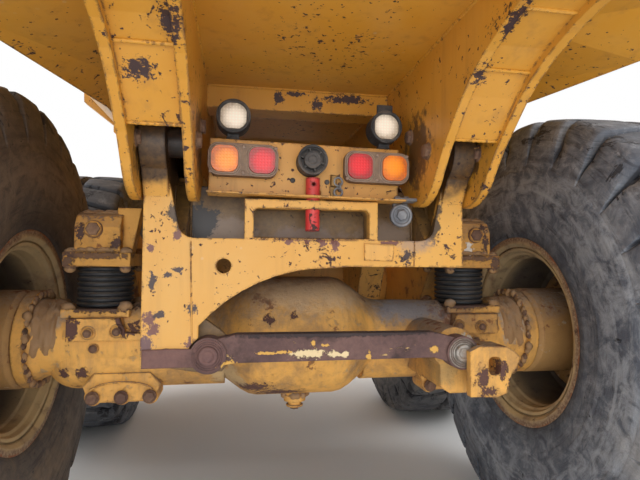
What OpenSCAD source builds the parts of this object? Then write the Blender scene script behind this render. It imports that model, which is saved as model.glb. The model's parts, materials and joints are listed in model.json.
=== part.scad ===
// Rear unit of an articulated dump truck: frame with its hitch tube, two axles
// on walking beams and rubber springs, tipping body with its hoist, four wheels,
// and the tail's light bar.
// Millimetres. X to the right, Y forward, Z up. The origin is on the hitch's
// axis at the hitch's front face. Pieces are drawn about the rear axle's centre
// and moved to that origin as one.

/* [Layout] */
// Rear axle to middle axle
axle_gap = 1700; // [1640:10:1800]
// Rear axle to the hitch's front face
hitch_reach = 4600; // [4500:10:5000]
// Height of the hitch's axis above the axles
hitch_rise = 250; // [230:5:270]
// Middle of the left tyre to middle of the right tyre
track = 2275; // [2265:5:2400]
// Running clearance between pieces that move past each other
clearance = 5.5; // [5:0.5:8]
// Radial gap of a pin or shaft in its bore
pin_gap = 0.3; // [0.2:0.1:1]
// Gap left between pieces that rest on each other
seat_gap = 0.3; // [0.2:0.1:0.5]

/* [Tyres] */
// Outer radius of a tyre at the tips of its lugs
tyre_r = 810; // [780:5:815]
// Width of a tyre at its widest
tyre_w = 595; // [560:5:600]
// Depth of the lugs
lug_depth = 38; // [25:1:45]
// Lugs on each half of a tread
lugs = 28; // [24:1:32]
// Share of the pitch that a lug fills
lug_share = 0.83; // [0.65:0.01:0.86]
// Thickness of the carcass under the tread
carcass_t = 45; // [30:1:60]

/* [Rims and hubs] */
// Radius of the rim's flange
flange_r = 360; // [345:1:370]
// Radius of the bead seat
bead_r = 318; // [310:1:325]
// Radius of the opening inside the rim
rim_bore_r = 282; // [270:1:288]
// Width over the rim's flanges
rim_w = 527; // [500:1:540]
// Thickness of the wheel disc
disc_t = 25; // [16:1:30]
// Outward offset of the wheel disc from the tyre's middle
disc_set = 30; // [10:5:60]
// Radius of the hub's drum
drum_r = 160; // [150:5:175]
// Radius of the hub's flange against the disc
hub_flange_r = 245; // [230:5:260]
// Radius of the planetary cover
cover_r = 150; // [130:5:165]
// Reach of the planetary cover beyond the disc
cover_reach = 165; // [120:5:200]
// Radius of the spindle that carries a hub
spindle_r = 80; // [60:5:95]

/* [Axles] */
// Radius of an axle arm
arm_r = 116; // [110:1:125]
// Radius of the boxed belly under an arm
belly_r = 105; // [95:1:110]
// Depth of the belly's axis below the arm's
belly_drop = 60; // [50:1:65]
// Radius of the axle's end flange
end_flange_r = 158; // [145:1:165]
// Distance of the end flange's outer face inward of the tyre's middle
flange_set = 270; // [266:1:282]
// Radius of the bowl
bowl_r = 205; // [195:1:215]
// Half width of the bowl's straight middle
bowl_flat = 130; // [110:5:150]
// Half width of the bowl with its flares
bowl_w = 300; // [270:5:320]
// Forward reach of the bowl
bowl_front = 190; // [170:5:220]
// Forward reach of the pinion's nose and its flange
nose_reach = 375; // [340:5:400]
// Radius of the pinion's flange
nose_flange_r = 78; // [65:1:90]

/* [Springs and beams] */
// Distance of a spring's axis from the middle
spring_x = 645; // [635:1:655]
// Radius of a spring's ribs
spring_r = 90; // [80:1:95]
// Ribs on one spring
spring_ribs = 8; // [5:1:10]
// Height of the spring's lower seat above the axle's centre
spring_low = 104; // [95:1:115]
// Height of a spring
spring_h = 136; // [120:1:145]
// Forward offset of a spring from its axle
spring_y = 20; // [0:5:40]
// Width of the spring's square seats
seat_w = 205; // [190:5:210]
// Length of the spring's seats along the beam
seat_len = 250; // [230:5:270]
// Thickness of the spring's seats
seat_t = 26; // [18:1:30]
// Width of a walking beam
beam_w = 150; // [120:5:170]
// Thickness of the beam's end flanges over the springs
beam_flange_t = 44; // [30:1:50]
// Height of a beam's end block above its flange
block_h = 136; // [120:2:150]
// Height of the beams' trunnion above the axles
trunnion_z = 150; // [140:5:170]
// Radius of the trunnion tube
trunnion_r = 85; // [70:5:95]
// Radius of the beam's hub around the trunnion
beam_hub_r = 135; // [120:5:140]

/* [Frame] */
// Width over the two rails
frame_w = 894; // [880:2:900]
// Width of one rail
rail_w = 107; // [95:1:112]
// Height of the rails' tops above the axles
rail_top = 500; // [470:5:505]
// Height of the rails' undersides over the axles
rail_low = 247; // [240:1:280]
// Height of the rails' undersides between and ahead of the axles
rail_deep = 35; // [20:5:60]
// Rear face of the frame's end plate behind the rear axle
end_y = 420; // [415:1:450]
// Thickness of the frame's end plate
end_t = 25; // [16:1:30]
// Height of the end plate's top edge above the axles
end_top = 322; // [310:1:335]
// Bottom of the left leg above the axles, below them when negative
leg_low = -20; // [-40:1:-10]
// Inner face of a tower from the middle
tower_in = 383; // [375:1:390]
// Width of the left leg
leg_w = 146; // [130:1:160]
// Radius of the arch between the leg and the end plate
arch_r = 467; // [440:1:490]
// Plate thickness of the cross members
member_t = 20; // [12:1:25]

/* [Hitch] */
// Radius of the hitch's bore
hitch_bore_r = 200; // [180:5:220]
// Outer radius of the hitch tube
hitch_tube_r = 265; // [255:5:275]
// Length of the hitch tube
hitch_len = 800; // [700:10:900]
// Radius of the bolted ring on the hitch tube
hitch_ring_r = 315; // [305:5:330]
// Thickness of the bolted ring
hitch_ring_t = 45; // [30:1:60]
// Pitch radius of the ring's bolts
hitch_bolt_pcr = 290; // [287:1:292]
// Radius of the ring's bolt holes
hitch_bolt_r = 11; // [8:1:13]
// Bolts in the ring
hitch_bolts = 16; // [12:2:24]

/* [Drive flange] */
// Radius of the input flange in front of the carrier bearing
drive_flange_r = 90; // [85:1:100]
// Pitch radius of its bolt holes
drive_pcr = 70; // [65:1:72]
// Radius of its bolt holes
drive_bolt_r = 7; // [5:0.5:8]
// Bolt holes in the flange
drive_bolts = 8; // [4:2:12]

/* [Body] */
// Length of the body's floor from the tail to the front wall
body_floor_len = 5060; // [4900:10:5200]
// Tail of the body's floor behind the rear axle
body_tail = 1460; // [1300:10:1500]
// Height of the floor's underside above the axles
floor_z = 840; // [835:1:860]
// Rise of the floor at the tail
tail_rise = 115; // [60:5:160]
// Start of that rise behind the rear axle
tail_fold = 950; // [920:10:990]
// Half width of the floor where the rise starts
fold_half = 900; // [880:5:920]
// Half width of the floor's underside ahead of the rear axle
floor_half = 696; // [680:1:720]
// Half width of the floor at the tail
tail_half = 960; // [900:5:1000]
// Distance of the knee between the lower and upper side inward of the top
knee_in = 15; // [5:5:60]
// Height of the knee above the axles
knee_z = 1450; // [1350:10:1550]
// Half width at the top of the sides
top_half = 1305; // [1280:5:1330]
// Height of the sides above the axles
top_z = 1970; // [1800:10:2100]
// Height of the front wall above the axles
wall_z = 2420; // [2200:10:2500]
// Forward lean of the front wall, per unit of height
wall_lean = 0.268; // [0.1:0.001:0.35]
// Forward lean of the tail's side edge, per unit of height
tail_lean = 0.45; // [0.3:0.01:0.5]
// Thickness of the floor plate
floor_t = 16; // [10:1:20]
// Thickness of the side plates
side_t = 12; // [8:1:16]
// Width of the top rails
top_rail_w = 75; // [50:5:100]
// Height of the top rails
top_rail_h = 110; // [80:5:150]
// Side ribs on each side
ribs = 4; // [3:1:6]
// Depth of the side ribs
rib_d = 55; // [30:5:70]
// Width of the side ribs
rib_w = 90; // [60:5:120]

/* [Body hinge] */
// Hinge pin behind the rear axle
hinge_y = 420; // [410:1:440]
// Hinge pin above the axles
hinge_z = 575; // [570:1:585]
// Radius of the hinge pin
hinge_r = 40; // [30:1:50]
// Radius of the frame's boss around the pin
hinge_boss_r = 88; // [75:1:95]
// Radius of the keels' tips around the pin
tip_r = 155; // [145:1:160]
// Middle of the inner keel plate from the middle
keel_in = 320; // [318:1:321]
// Middle of the outer keel plate from the middle
keel_out = 465; // [465:1:468]
// Thickness of the keel plates
keel_t = 24; // [20:1:25]
// Gap between a keel's sole and the rail below
keel_gap = 22; // [18:1:30]
// Rubber pads on one rail
rest_pad_count = 4; // [3:1:6]
// Thickness of the webs and soles between the keel plates
web_t = 14; // [8:1:18]

/* [Hoist] */
// Lower hoist pin ahead of the rear axle
hoist_low_y = 800; // [780:5:820]
// Lower hoist pin above the axles
hoist_low_z = 400; // [395:1:410]
// Upper hoist pin ahead of the rear axle
hoist_top_y = 2600; // [2560:5:2640]
// Upper hoist pin above the axles
hoist_top_z = 740; // [735:1:745]
// Distance of a cylinder's axis from the middle
hoist_x = 570; // [566:1:574]
// Outer radius of the barrel
barrel_r = 78; // [70:1:82]
// Wall of the barrel
barrel_wall = 14; // [10:1:18]
// Radius of the rod
rod_r = 45; // [35:1:50]
// Radius of the hoist pins
hoist_pin_r = 32; // [25:1:36]
// Radius of the eyes
eye_r = 68; // [60:1:72]
// Width of the eyes
eye_w = 76; // [60:1:84]
// Gland's face behind the upper eye
gland_gap = 135; // [120:5:160]

/* [Light bar] */
// Left end of the light bar from the middle
bar_left = 285; // [275:1:290]
// Right end of the light bar from the middle
bar_right = 265; // [260:1:285]
// Underside of the light bar's lip above the axles
bar_low = 437; // [434:1:445]
// Height of the light bar
bar_h = 163; // [150:1:175]
// Rear face of the light bar behind the rear axle
bar_y = 372; // [370:1:374]
// Depth of the lip
lip_d = 78; // [50:1:85]
// Sheet thickness of the light bar
bar_t = 5; // [3:1:8]
// Droop of the light bar to the right, in degrees
bar_tilt = 1; // [0:0.5:3]
// Size of a lamp's square lens
lens_w = 72; // [60:1:78]
// Distance of the outer lamps from the middle
amber_x = 242; // [238:1:244]
// Distance of the inner lamps from the middle
red_x = 140; // [138:1:144]
// Height of the lamps above the axles
lamp_z = 537; // [532:1:542]
// Radius of a work lamp
work_r = 48; // [40:1:52]
// Distance of the work lamps from the middle
work_x = 222; // [210:1:226]
// Height of the work lamps above the axles
work_z = 663; // [658:1:668]
// Radius of the reversing alarm
alarm_r = 42; // [35:1:45]
// Radius of the red lock pin
lock_r = 20; // [15:1:22]

/* [Slot bracket] */
// Left side of the bracket from the middle
slot_left = 184; // [175:1:190]
// Right side of the bracket from the middle
slot_right = 190; // [175:1:195]
// Top of the bracket above the axles
slot_top = 431; // [425:1:433]
// Wall of the bracket
slot_wall = 24; // [16:1:30]
// Depth of the bracket
slot_d = 70; // [50:5:80]

/* [Hidden] */
$fn = 48;

frame_yellow = [0.88, 0.66, 0.28];
body_yellow = [0.80, 0.56, 0.16];
rust_brown = [0.36, 0.24, 0.20];
tyre_grey = [0.20, 0.21, 0.23];
rim_brown = [0.62, 0.50, 0.34];
dull_black = [0.12, 0.12, 0.13];

half_frame = frame_w / 2;
rail_in = half_frame - rail_w;
end_flange_x = track / 2 - flange_set;
bay_y = axle_gap / 2;
spring_top = spring_low + spring_h;
beam_seat = spring_top + beam_flange_t;
rail_front = hitch_reach - hitch_len - 120;
barrel_bore = barrel_r - barrel_wall;
hoist_dy = hoist_top_y - hoist_low_y;
hoist_dz = hoist_top_z - hoist_low_z;
hoist_len = sqrt(hoist_dy * hoist_dy + hoist_dz * hoist_dz);
hoist_angle = atan2(hoist_dz, hoist_dy);
body_front = body_floor_len - body_tail;
knee_half = top_half - knee_in;
knee_slope = (knee_z - floor_z) / (knee_half - floor_half);
pin_cap = 6;
panhard_left = [-275, 10];
panhard_right = [445, 0];
panhard_eye_r = 48;
panhard_eye_w = 56;
panhard_pin_r = 24;
panhard_y = end_y - 22;
rod_seat_y = panhard_y - panhard_eye_w / 2 - 2;
rod_x = 558;
rod_eye_w = 50;
rod_pin_r = 20;
hanger_half = 66;
rod_spread = 85;
rod_front_z = -95;
rod_rear_y = 155;
lobe_gap = 86;
lobe_r = 27;
rod_rear_z = -125;
middle_drop = 165;
lock_x = 6;
lock_y = -end_y + 25;
shaft_low_z = hitch_rise - hitch_tube_r - 145;
bearing_y = hitch_reach - hitch_len;
bearing_r = 85;

// Moves what is drawn about the rear axle to the hitch's origin
module at_hitch() { translate([0, -hitch_reach, -hitch_rise]) children(); }

// Both sides of the middle plane
module both() { children(); mirror([1, 0, 0]) children(); }

// An outline in Y and Z, carried along X from x0 by w
module along_x(x0, w) {
    translate([x0, 0, 0]) rotate([90, 0, 90]) linear_extrude(w) children();
}

// An outline in X and Z, carried along Y from y0 by w
module along_y(y0, w) {
    translate([0, y0 + w, 0]) rotate([90, 0, 0]) linear_extrude(w) children();
}

// A round bar along X
module bar_x(x0, x1, y, z, r) {
    translate([x0, y, z]) rotate([0, 90, 0]) cylinder(h = x1 - x0, r = r);
}

// A round bar along Y
module bar_y_axis(y0, y1, x, z, r) {
    translate([x, y0, z]) rotate([-90, 0, 0]) cylinder(h = y1 - y0, r = r);
}

// Turned about X, from points [place along X, radius]
module turned_x(points) {
    rotate([0, 90, 0]) rotate_extrude(angle = 360)
        polygon([for (p = points) [p[1], p[0]]]);
}

// Turned about Y, from points [place along Y, radius]
module turned_y(points) {
    rotate([-90, 0, 0]) rotate_extrude(angle = 360)
        polygon([for (p = points) [p[1], p[0]]]);
}

// A rectangle with round corners about its middle
module round_box(w, h, r) {
    square([w - 2 * r, h], center = true);
    square([w, h - 2 * r], center = true);
    for (i = [-1, 1], j = [-1, 1])
        translate([i * (w / 2 - r), j * (h / 2 - r)]) circle(r);
}

// A skin through closed rings that all have the same number of points and run
// counterclockwise as seen from outside the first ring. Each four-sided face is
// cut from its lower near corner to its upper far one.
module loft(rings) {
    n = len(rings[0]);
    m = len(rings);
    polyhedron(
        points = [for (ring = rings) for (p = ring) p],
        faces = concat(
            [[for (i = [n - 1 : -1 : 0]) i]],
            [[for (i = [0 : n - 1]) (m - 1) * n + i]],
            [for (k = [0 : m - 2]) for (i = [0 : n - 1])
                let (j = (i + 1) % n, a = k * n)
                    each rings[k][i][2] > rings[k][j][2]
                        ? [[a + i, a + j, a + n + i], [a + j, a + n + j, a + n + i]]
                        : [[a + i, a + n + j, a + n + i], [a + i, a + j, a + n + j]]]));
}

// Frame

// Side outline of a rail with an arch over each axle
module rail_outline() {
    arch = 330;
    slope = 120;
    polygon([
        [-end_y + end_t, rail_low], [arch, rail_low], [arch + slope, rail_deep],
        [axle_gap - arch - slope, rail_deep], [axle_gap - arch, rail_low],
        [axle_gap + arch, rail_low], [axle_gap + arch + slope, rail_deep],
        [rail_front, rail_deep], [rail_front, rail_top],
        [-end_y + 200, rail_top], [-end_y + end_t, end_top]]);
}

// Plan of the neck that narrows from the rails to the hitch tube
module neck_plan(inset) {
    front = hitch_reach - 150;
    polygon([
        [-half_frame + inset, rail_front - 300], [half_frame - inset, rail_front - 300],
        [half_frame - inset, rail_front], [hitch_tube_r - 30 - inset, front],
        [-hitch_tube_r + 30 + inset, front], [-half_frame + inset, rail_front]]);
}

// Box member across the frame between the rails
module cross_box(y, z0, z1, d) {
    difference() {
        translate([-rail_in, y - d / 2, z0]) cube([2 * rail_in, d, z1 - z0]);
        translate([-rail_in - 1, y - d / 2 + member_t, z0 + member_t])
            cube([2 * rail_in + 2, d - 2 * member_t, z1 - z0 - 2 * member_t]);
    }
}

module rear_frame() {
    neck_low = hitch_rise - 190;
    neck_top = hitch_rise + 190;
    color(frame_yellow) at_hitch() difference() {
        union() {
            both() along_x(rail_in, rail_w) rail_outline();
            cross_box(bay_y, 60, 330, 300);
            cross_box(2450, 120, 400, 160);
            cross_box(330, 330, 470, 120);
            // neck plates, top and bottom, with side plates between them
            for (z = [neck_low, neck_top - member_t])
                translate([0, 0, z]) linear_extrude(member_t) neck_plan(0);
            translate([0, 0, neck_low]) linear_extrude(neck_top - neck_low)
                difference() {
                    neck_plan(0);
                    neck_plan(member_t + 15);
                }
            both() {
                // hanger for the rods that locate the axles, with its outrigger
                along_x(rail_in, rail_w) polygon([
                    [bay_y - 190, rail_deep + 10], [bay_y - 130, -150],
                    [bay_y + 130, -150], [bay_y + 190, rail_deep + 10]]);
                along_x(rail_in, rod_x + hanger_half - rail_in) polygon([
                    [bay_y - 150, 0], [bay_y - 130, -150],
                    [bay_y + 130, -150], [bay_y + 150, 0]]);
                // boss of the lower hoist pin
                bar_x(half_frame - 20, hoist_x - eye_w / 2 - clearance,
                    hoist_low_y, hoist_low_z, eye_r - 14);
            }
            // leg that holds the middle axle's cross rod
            mirror([1, 0, 0]) along_x(rail_in, rail_w) polygon([
                [axle_gap + rod_seat_y - 60, rail_low + 5],
                [axle_gap + rod_seat_y - 25, panhard_left[1] - middle_drop - 60],
                [axle_gap + rod_seat_y, panhard_left[1] - middle_drop - 60],
                [axle_gap + rod_seat_y, rail_low + 5]]);
            // collars of the trunnion tube on the rails
            both() bar_x(rail_in - 8, half_frame + 8, bay_y, trunnion_z, trunnion_r + 45);
        }
        // trunnion tube's hole
        bar_x(-frame_w, frame_w, bay_y, trunnion_z, trunnion_r + seat_gap);
        // hitch tube's seat
        bar_y_axis(hitch_reach - hitch_len, hitch_reach + 1, 0, hitch_rise,
            hitch_tube_r + seat_gap);
        // lower hoist pins' holes
        both() bar_x(half_frame - 90, hoist_x, hoist_low_y, hoist_low_z,
            hoist_pin_r + seat_gap);
        // slots and pin holes for the rods in the hangers
        both() translate([rod_x - rod_eye_w / 2 - 2, bay_y - 200, -151])
            cube([rod_eye_w + 4, 400, 120]);
        both() for (s = [-1, 1])
            bar_x(rod_x - hanger_half - 1, rod_x + hanger_half + 1,
                bay_y + s * rod_spread, rod_front_z, rod_pin_r + seat_gap);
        // middle cross rod's pin
        mirror([1, 0, 0]) bar_y_axis(axle_gap + rod_seat_y - 80, axle_gap + rod_seat_y + 1,
            half_frame - 50, panhard_left[1] - middle_drop, panhard_pin_r + seat_gap);
        // lightening holes in the neck's bottom
        translate([0, rail_front - 60, neck_low - 1]) cylinder(h = member_t + 2, r = 120);
    }
}

// Outline of the end plate with its left leg and its arch
module end_outline() {
    arch_x = 45;
    arch_z = rail_low - 4 - arch_r;
    from = 90;
    to = 138;
    steps = 8;
    polygon(concat(
        [[-half_frame, leg_low], [-half_frame + leg_w, leg_low]],
        [for (i = [0 : steps]) let (a = to + (from - to) * i / steps)
            [arch_x + arch_r * cos(a), arch_z + arch_r * sin(a)]],
        [[arch_x + 60, rail_low], [half_frame, rail_low], [half_frame, rail_top]],
        tower_foot(1), [for (i = [len(tower_foot(-1)) - 1 : -1 : 0]) tower_foot(-1)[i]],
        [[-half_frame, rail_top]]));
}

// Inner edge of a tower on side s, from its top down round the foot's fillet
function tower_foot(s) = let (top = tower_in + 5, foot = rail_in + 20, r = 42)
    concat([[s * top, rail_top], [s * foot, end_top + r]],
        [for (i = [1 : 4]) let (a = i * 22.5)
            [s * (foot - r + r * cos(a)), end_top + r - r * sin(a)]]);

// Side outline of a tower up to the hinge pin
module tower_outline() {
    difference() {
        union() {
            translate([-hinge_y, hinge_z]) circle(hinge_boss_r);
            polygon([
                [-end_y, end_top], [-end_y, rail_top - 70],
                [-hinge_y - hinge_boss_r, hinge_z], [-hinge_y + hinge_boss_r, hinge_z],
                [-end_y + 240, rail_top], [-end_y + end_t, end_top]]);
        }
        translate([-hinge_y, hinge_z]) circle(hinge_r + pin_gap);
        rail_outline();
    }
}

module frame_end() {
    plate_back = -end_y + end_t;
    color(frame_yellow) at_hitch() union() {
        difference() {
            along_y(-end_y, end_t) end_outline();
            // room for the cross rod's eye beside the leg
            bar_y_axis(-end_y - 1, plate_back + 1, panhard_left[0], panhard_left[1],
                panhard_eye_r + clearance);
            // hole through the plate
            bar_y_axis(-end_y - 1, plate_back + 1, -238, 248, 20);
        }
        both() along_x(tower_in, half_frame - tower_in) tower_outline();
        // slot bracket that stands on the plate
        difference() {
            translate([-slot_left, -end_y, end_top])
                cube([slot_left + slot_right, slot_d, slot_top - end_top]);
            translate([(slot_right - slot_left) / 2, -end_y - 1, end_top])
                rotate([-90, 0, 0]) linear_extrude(slot_d + 2)
                    round_box(slot_left + slot_right - 2 * slot_wall,
                        2 * (slot_top - end_top - slot_wall), 16);
            translate([lock_x, lock_y, end_top]) cylinder(h = 200, r = lock_r + pin_gap);
        }
        // straps that carry the light bar
        for (x = [-130, 130]) translate([x - 20, -bar_y + bar_t + seat_gap, slot_top - 5])
            cube([40, 10, bar_h - 50]);
        // lug behind the cross rod's eye, on a sole and a stiffener
        difference() {
            union() {
                along_y(-panhard_y + panhard_eye_w / 2 + 2, member_t) polygon([
                    [-half_frame, leg_low], [-310, -44], [-240, -44], [-220, -20],
                    [-220, 45], [-245, 70], [-half_frame + leg_w, 110],
                    [-half_frame + leg_w, rail_low], [-half_frame, rail_low]]);
                translate([-half_frame, plate_back, leg_low])
                    cube([leg_w - 30, panhard_eye_w, member_t]);
                translate([-half_frame, plate_back, leg_low])
                    cube([member_t, panhard_eye_w, rail_low - leg_low]);
            }
            bar_y_axis(-end_y, -end_y + 200, panhard_left[0], panhard_left[1],
                panhard_pin_r + seat_gap);
        }
        // back plate between the rails
        translate([-rail_in, -end_y + 130, 270])
            cube([2 * rail_in, member_t, rail_top - 290]);
    }
}

module hitch_tube() {
    back = hitch_reach - hitch_len;
    low = shaft_low_z - hitch_rise;
    color(frame_yellow) at_hitch() translate([0, 0, hitch_rise]) difference() {
        union() {
            turned_y([
                [back, 0], [back, hitch_tube_r], [hitch_reach - hitch_ring_t, hitch_tube_r],
                [hitch_reach - hitch_ring_t, hitch_ring_r], [hitch_reach, hitch_ring_r],
                [hitch_reach, 0]]);
            // hanger of the carrier bearing
            along_y(back + 20, 80) polygon([
                [-120, low - 40], [-60, low - bearing_r - 25], [60, low - bearing_r - 25],
                [120, low - 40], [120, low + 110], [150, -hitch_tube_r + 60],
                [-150, -hitch_tube_r + 60], [-120, low + 110]]);
        }
        bar_y_axis(back - 1, hitch_reach + 1, 0, 0, hitch_bore_r);
        // bore of the shaft's carrier bearing
        translate([0, 0, shaft_low_z - hitch_rise])
            bar_y_axis(back, back + 130, 0, 0, bearing_r + seat_gap);
        for (i = [0 : hitch_bolts - 1]) rotate([0, (i + 0.5) * 360 / hitch_bolts, 0])
            bar_y_axis(hitch_reach - hitch_ring_t - 1, hitch_reach + 1, hitch_bolt_pcr, 0,
                hitch_bolt_r);
    }
}

// Rubber pads on the rails that the lowered body rests on
module rest_pads() {
    pad_w = rail_w - 20;
    first = end_y + 80;
    pitch = (body_front - 800 - first) / (rest_pad_count - 1);
    color(dull_black) at_hitch() both() for (i = [0 : rest_pad_count - 1])
        translate([rail_in + 10, first + i * pitch, rail_top])
            cube([pad_w, 160, keel_gap - seat_gap]);
}

// Running gear

module beam_outline() {
    end = spring_y + seat_len / 2 - 15;
    rear = -end + 2 * spring_y;
    top = beam_seat + block_h;
    polygon([
        [rear, beam_seat - 2], [end, beam_seat - 2], [end, spring_top],
        [end + 140, trunnion_z - 75], [bay_y, trunnion_z - 95],
        [axle_gap - end - 140, trunnion_z - 75], [axle_gap - end, spring_top],
        [axle_gap - end, beam_seat - 2], [axle_gap - rear, beam_seat - 2],
        [axle_gap - rear, top - 52], [axle_gap - rear - 20, top - 16],
        [axle_gap - rear - 62, top], [axle_gap - 60, top - 6],
        [bay_y + 330, trunnion_z + 115], [bay_y - 330, trunnion_z + 115],
        [60, top - 6], [rear + 62, top], [rear + 20, top - 16], [rear, top - 52]]);
}

module walking_beams() {
    block_w = beam_w - 10;
    block_rear = spring_y - seat_len / 2 + 15;
    color(frame_yellow) at_hitch() both() difference() {
        union() {
            along_x(spring_x - block_w / 2 + 3, block_w) beam_outline();
            bar_x(half_frame + 14, spring_x + block_w / 2 + 15, bay_y, trunnion_z, beam_hub_r);
            for (end = [0, 1]) translate([0, end * axle_gap, 0]) mirror([0, end, 0]) {
                // flange on the spring, with the cheek on its inner side
                translate([spring_x - seat_w / 2, spring_y - seat_len / 2, spring_top])
                    cube([seat_w, seat_len, beam_flange_t]);
                along_y(spring_y - seat_len / 2 + 50, 60) polygon([
                    [spring_x - seat_w / 2 + 6, beam_seat - 2],
                    [spring_x - seat_w / 2 - 22, beam_seat + block_h + 14],
                    [spring_x - block_w / 2 + 20, beam_seat + block_h + 14],
                    [spring_x - block_w / 2 + 20, beam_seat - 2]]);
                // boss of the bolt in the block's rear face
                bar_y_axis(block_rear - 10, block_rear + 10,
                    spring_x + 15, beam_seat + block_h / 2 + 8, 26);
            }
        }
        bar_x(half_frame, frame_w, bay_y, trunnion_z, trunnion_r + seat_gap);
    }
    // trunnion tube through the frame
    color(frame_yellow) at_hitch()
        bar_x(-spring_x - 95, spring_x + 95, bay_y, trunnion_z, trunnion_r);
}

module rubber_springs() {
    waist = spring_r - 9;
    pitch = spring_h / spring_ribs;
    color(dull_black) at_hitch() both() for (y = [spring_y, axle_gap - spring_y])
        translate([spring_x, y, spring_low]) rotate_extrude(angle = 360)
            polygon(concat(
                [[0, spring_h], [0, 0]],
                [for (i = [0 : spring_ribs - 1]) each [
                    [waist, i * pitch], [spring_r, i * pitch + pitch * 0.3],
                    [spring_r, i * pitch + pitch * 0.7]]],
                [[waist, spring_h]]));
}

// Radius of the housing at distance x from the middle, along the bowl's flare
function flare_r(x) = let (t = (x - bowl_flat) / (bowl_w - bowl_flat))
    arm_r + 4 + (bowl_r - arm_r - 4) * (1 + cos(180 * t)) / 2;

// Rear outline of the saddle that clamps the locating rod's end under an arm
module saddle_outline() {
    dome_r = 92;
    translate([rod_x, 0]) {
        polygon([[-118, -137], [-110, -160], [-lobe_gap, -188], [lobe_gap, -188],
            [110, -160], [118, -137], [84, -100], [-84, -100]]);
        for (i = [-1 : 1]) translate([i * lobe_gap, -172]) circle(lobe_r);
        intersection() {
            translate([0, -209]) circle(dome_r);
            translate([-dome_r, -190]) square([2 * dome_r, dome_r]);
        }
    }
}

// Bracket of the cross rod on the right arm, lower by drop, with the towing lug
// on its rear face
module rod_bracket(drop) {
    lug_y = -panhard_y - panhard_eye_w / 2 - 31;
    lug_t = 24;
    translate([0, 0, -drop]) {
        along_y(-rod_seat_y, rod_seat_y - 70) polygon([
            [400, -20], [400, -112], [430, -130], [590, -130], [606, -60], [600, 0],
            [470, 0]]);
        bar_y_axis(-rod_seat_y, -arm_r, panhard_right[0], panhard_right[1], 66);
        along_y(lug_y, lug_t) lug_outline();
        along_y(lug_y + lug_t - 1, -rod_seat_y - lug_y - lug_t + 2) intersection() {
            lug_outline();
            translate([panhard_right[0] + panhard_eye_r + 8, -130]) square([160, 170]);
        }
    }
    if (drop > 0) translate([430, -rod_seat_y + 40, -100 - drop])
        cube([150, rod_seat_y - 120, drop + 60]);
}

// Outline of the towing lug with its slot
module lug_outline() {
    difference() {
        polygon([[451, 9], [482, 23], [564, 21], [590, 6], [607, -10], [594, -38],
            [578, -56], [563, -111], [532, -121], [452, -118]]);
        translate([526, -33]) round_box(37, 52, 14);
    }
}

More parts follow.
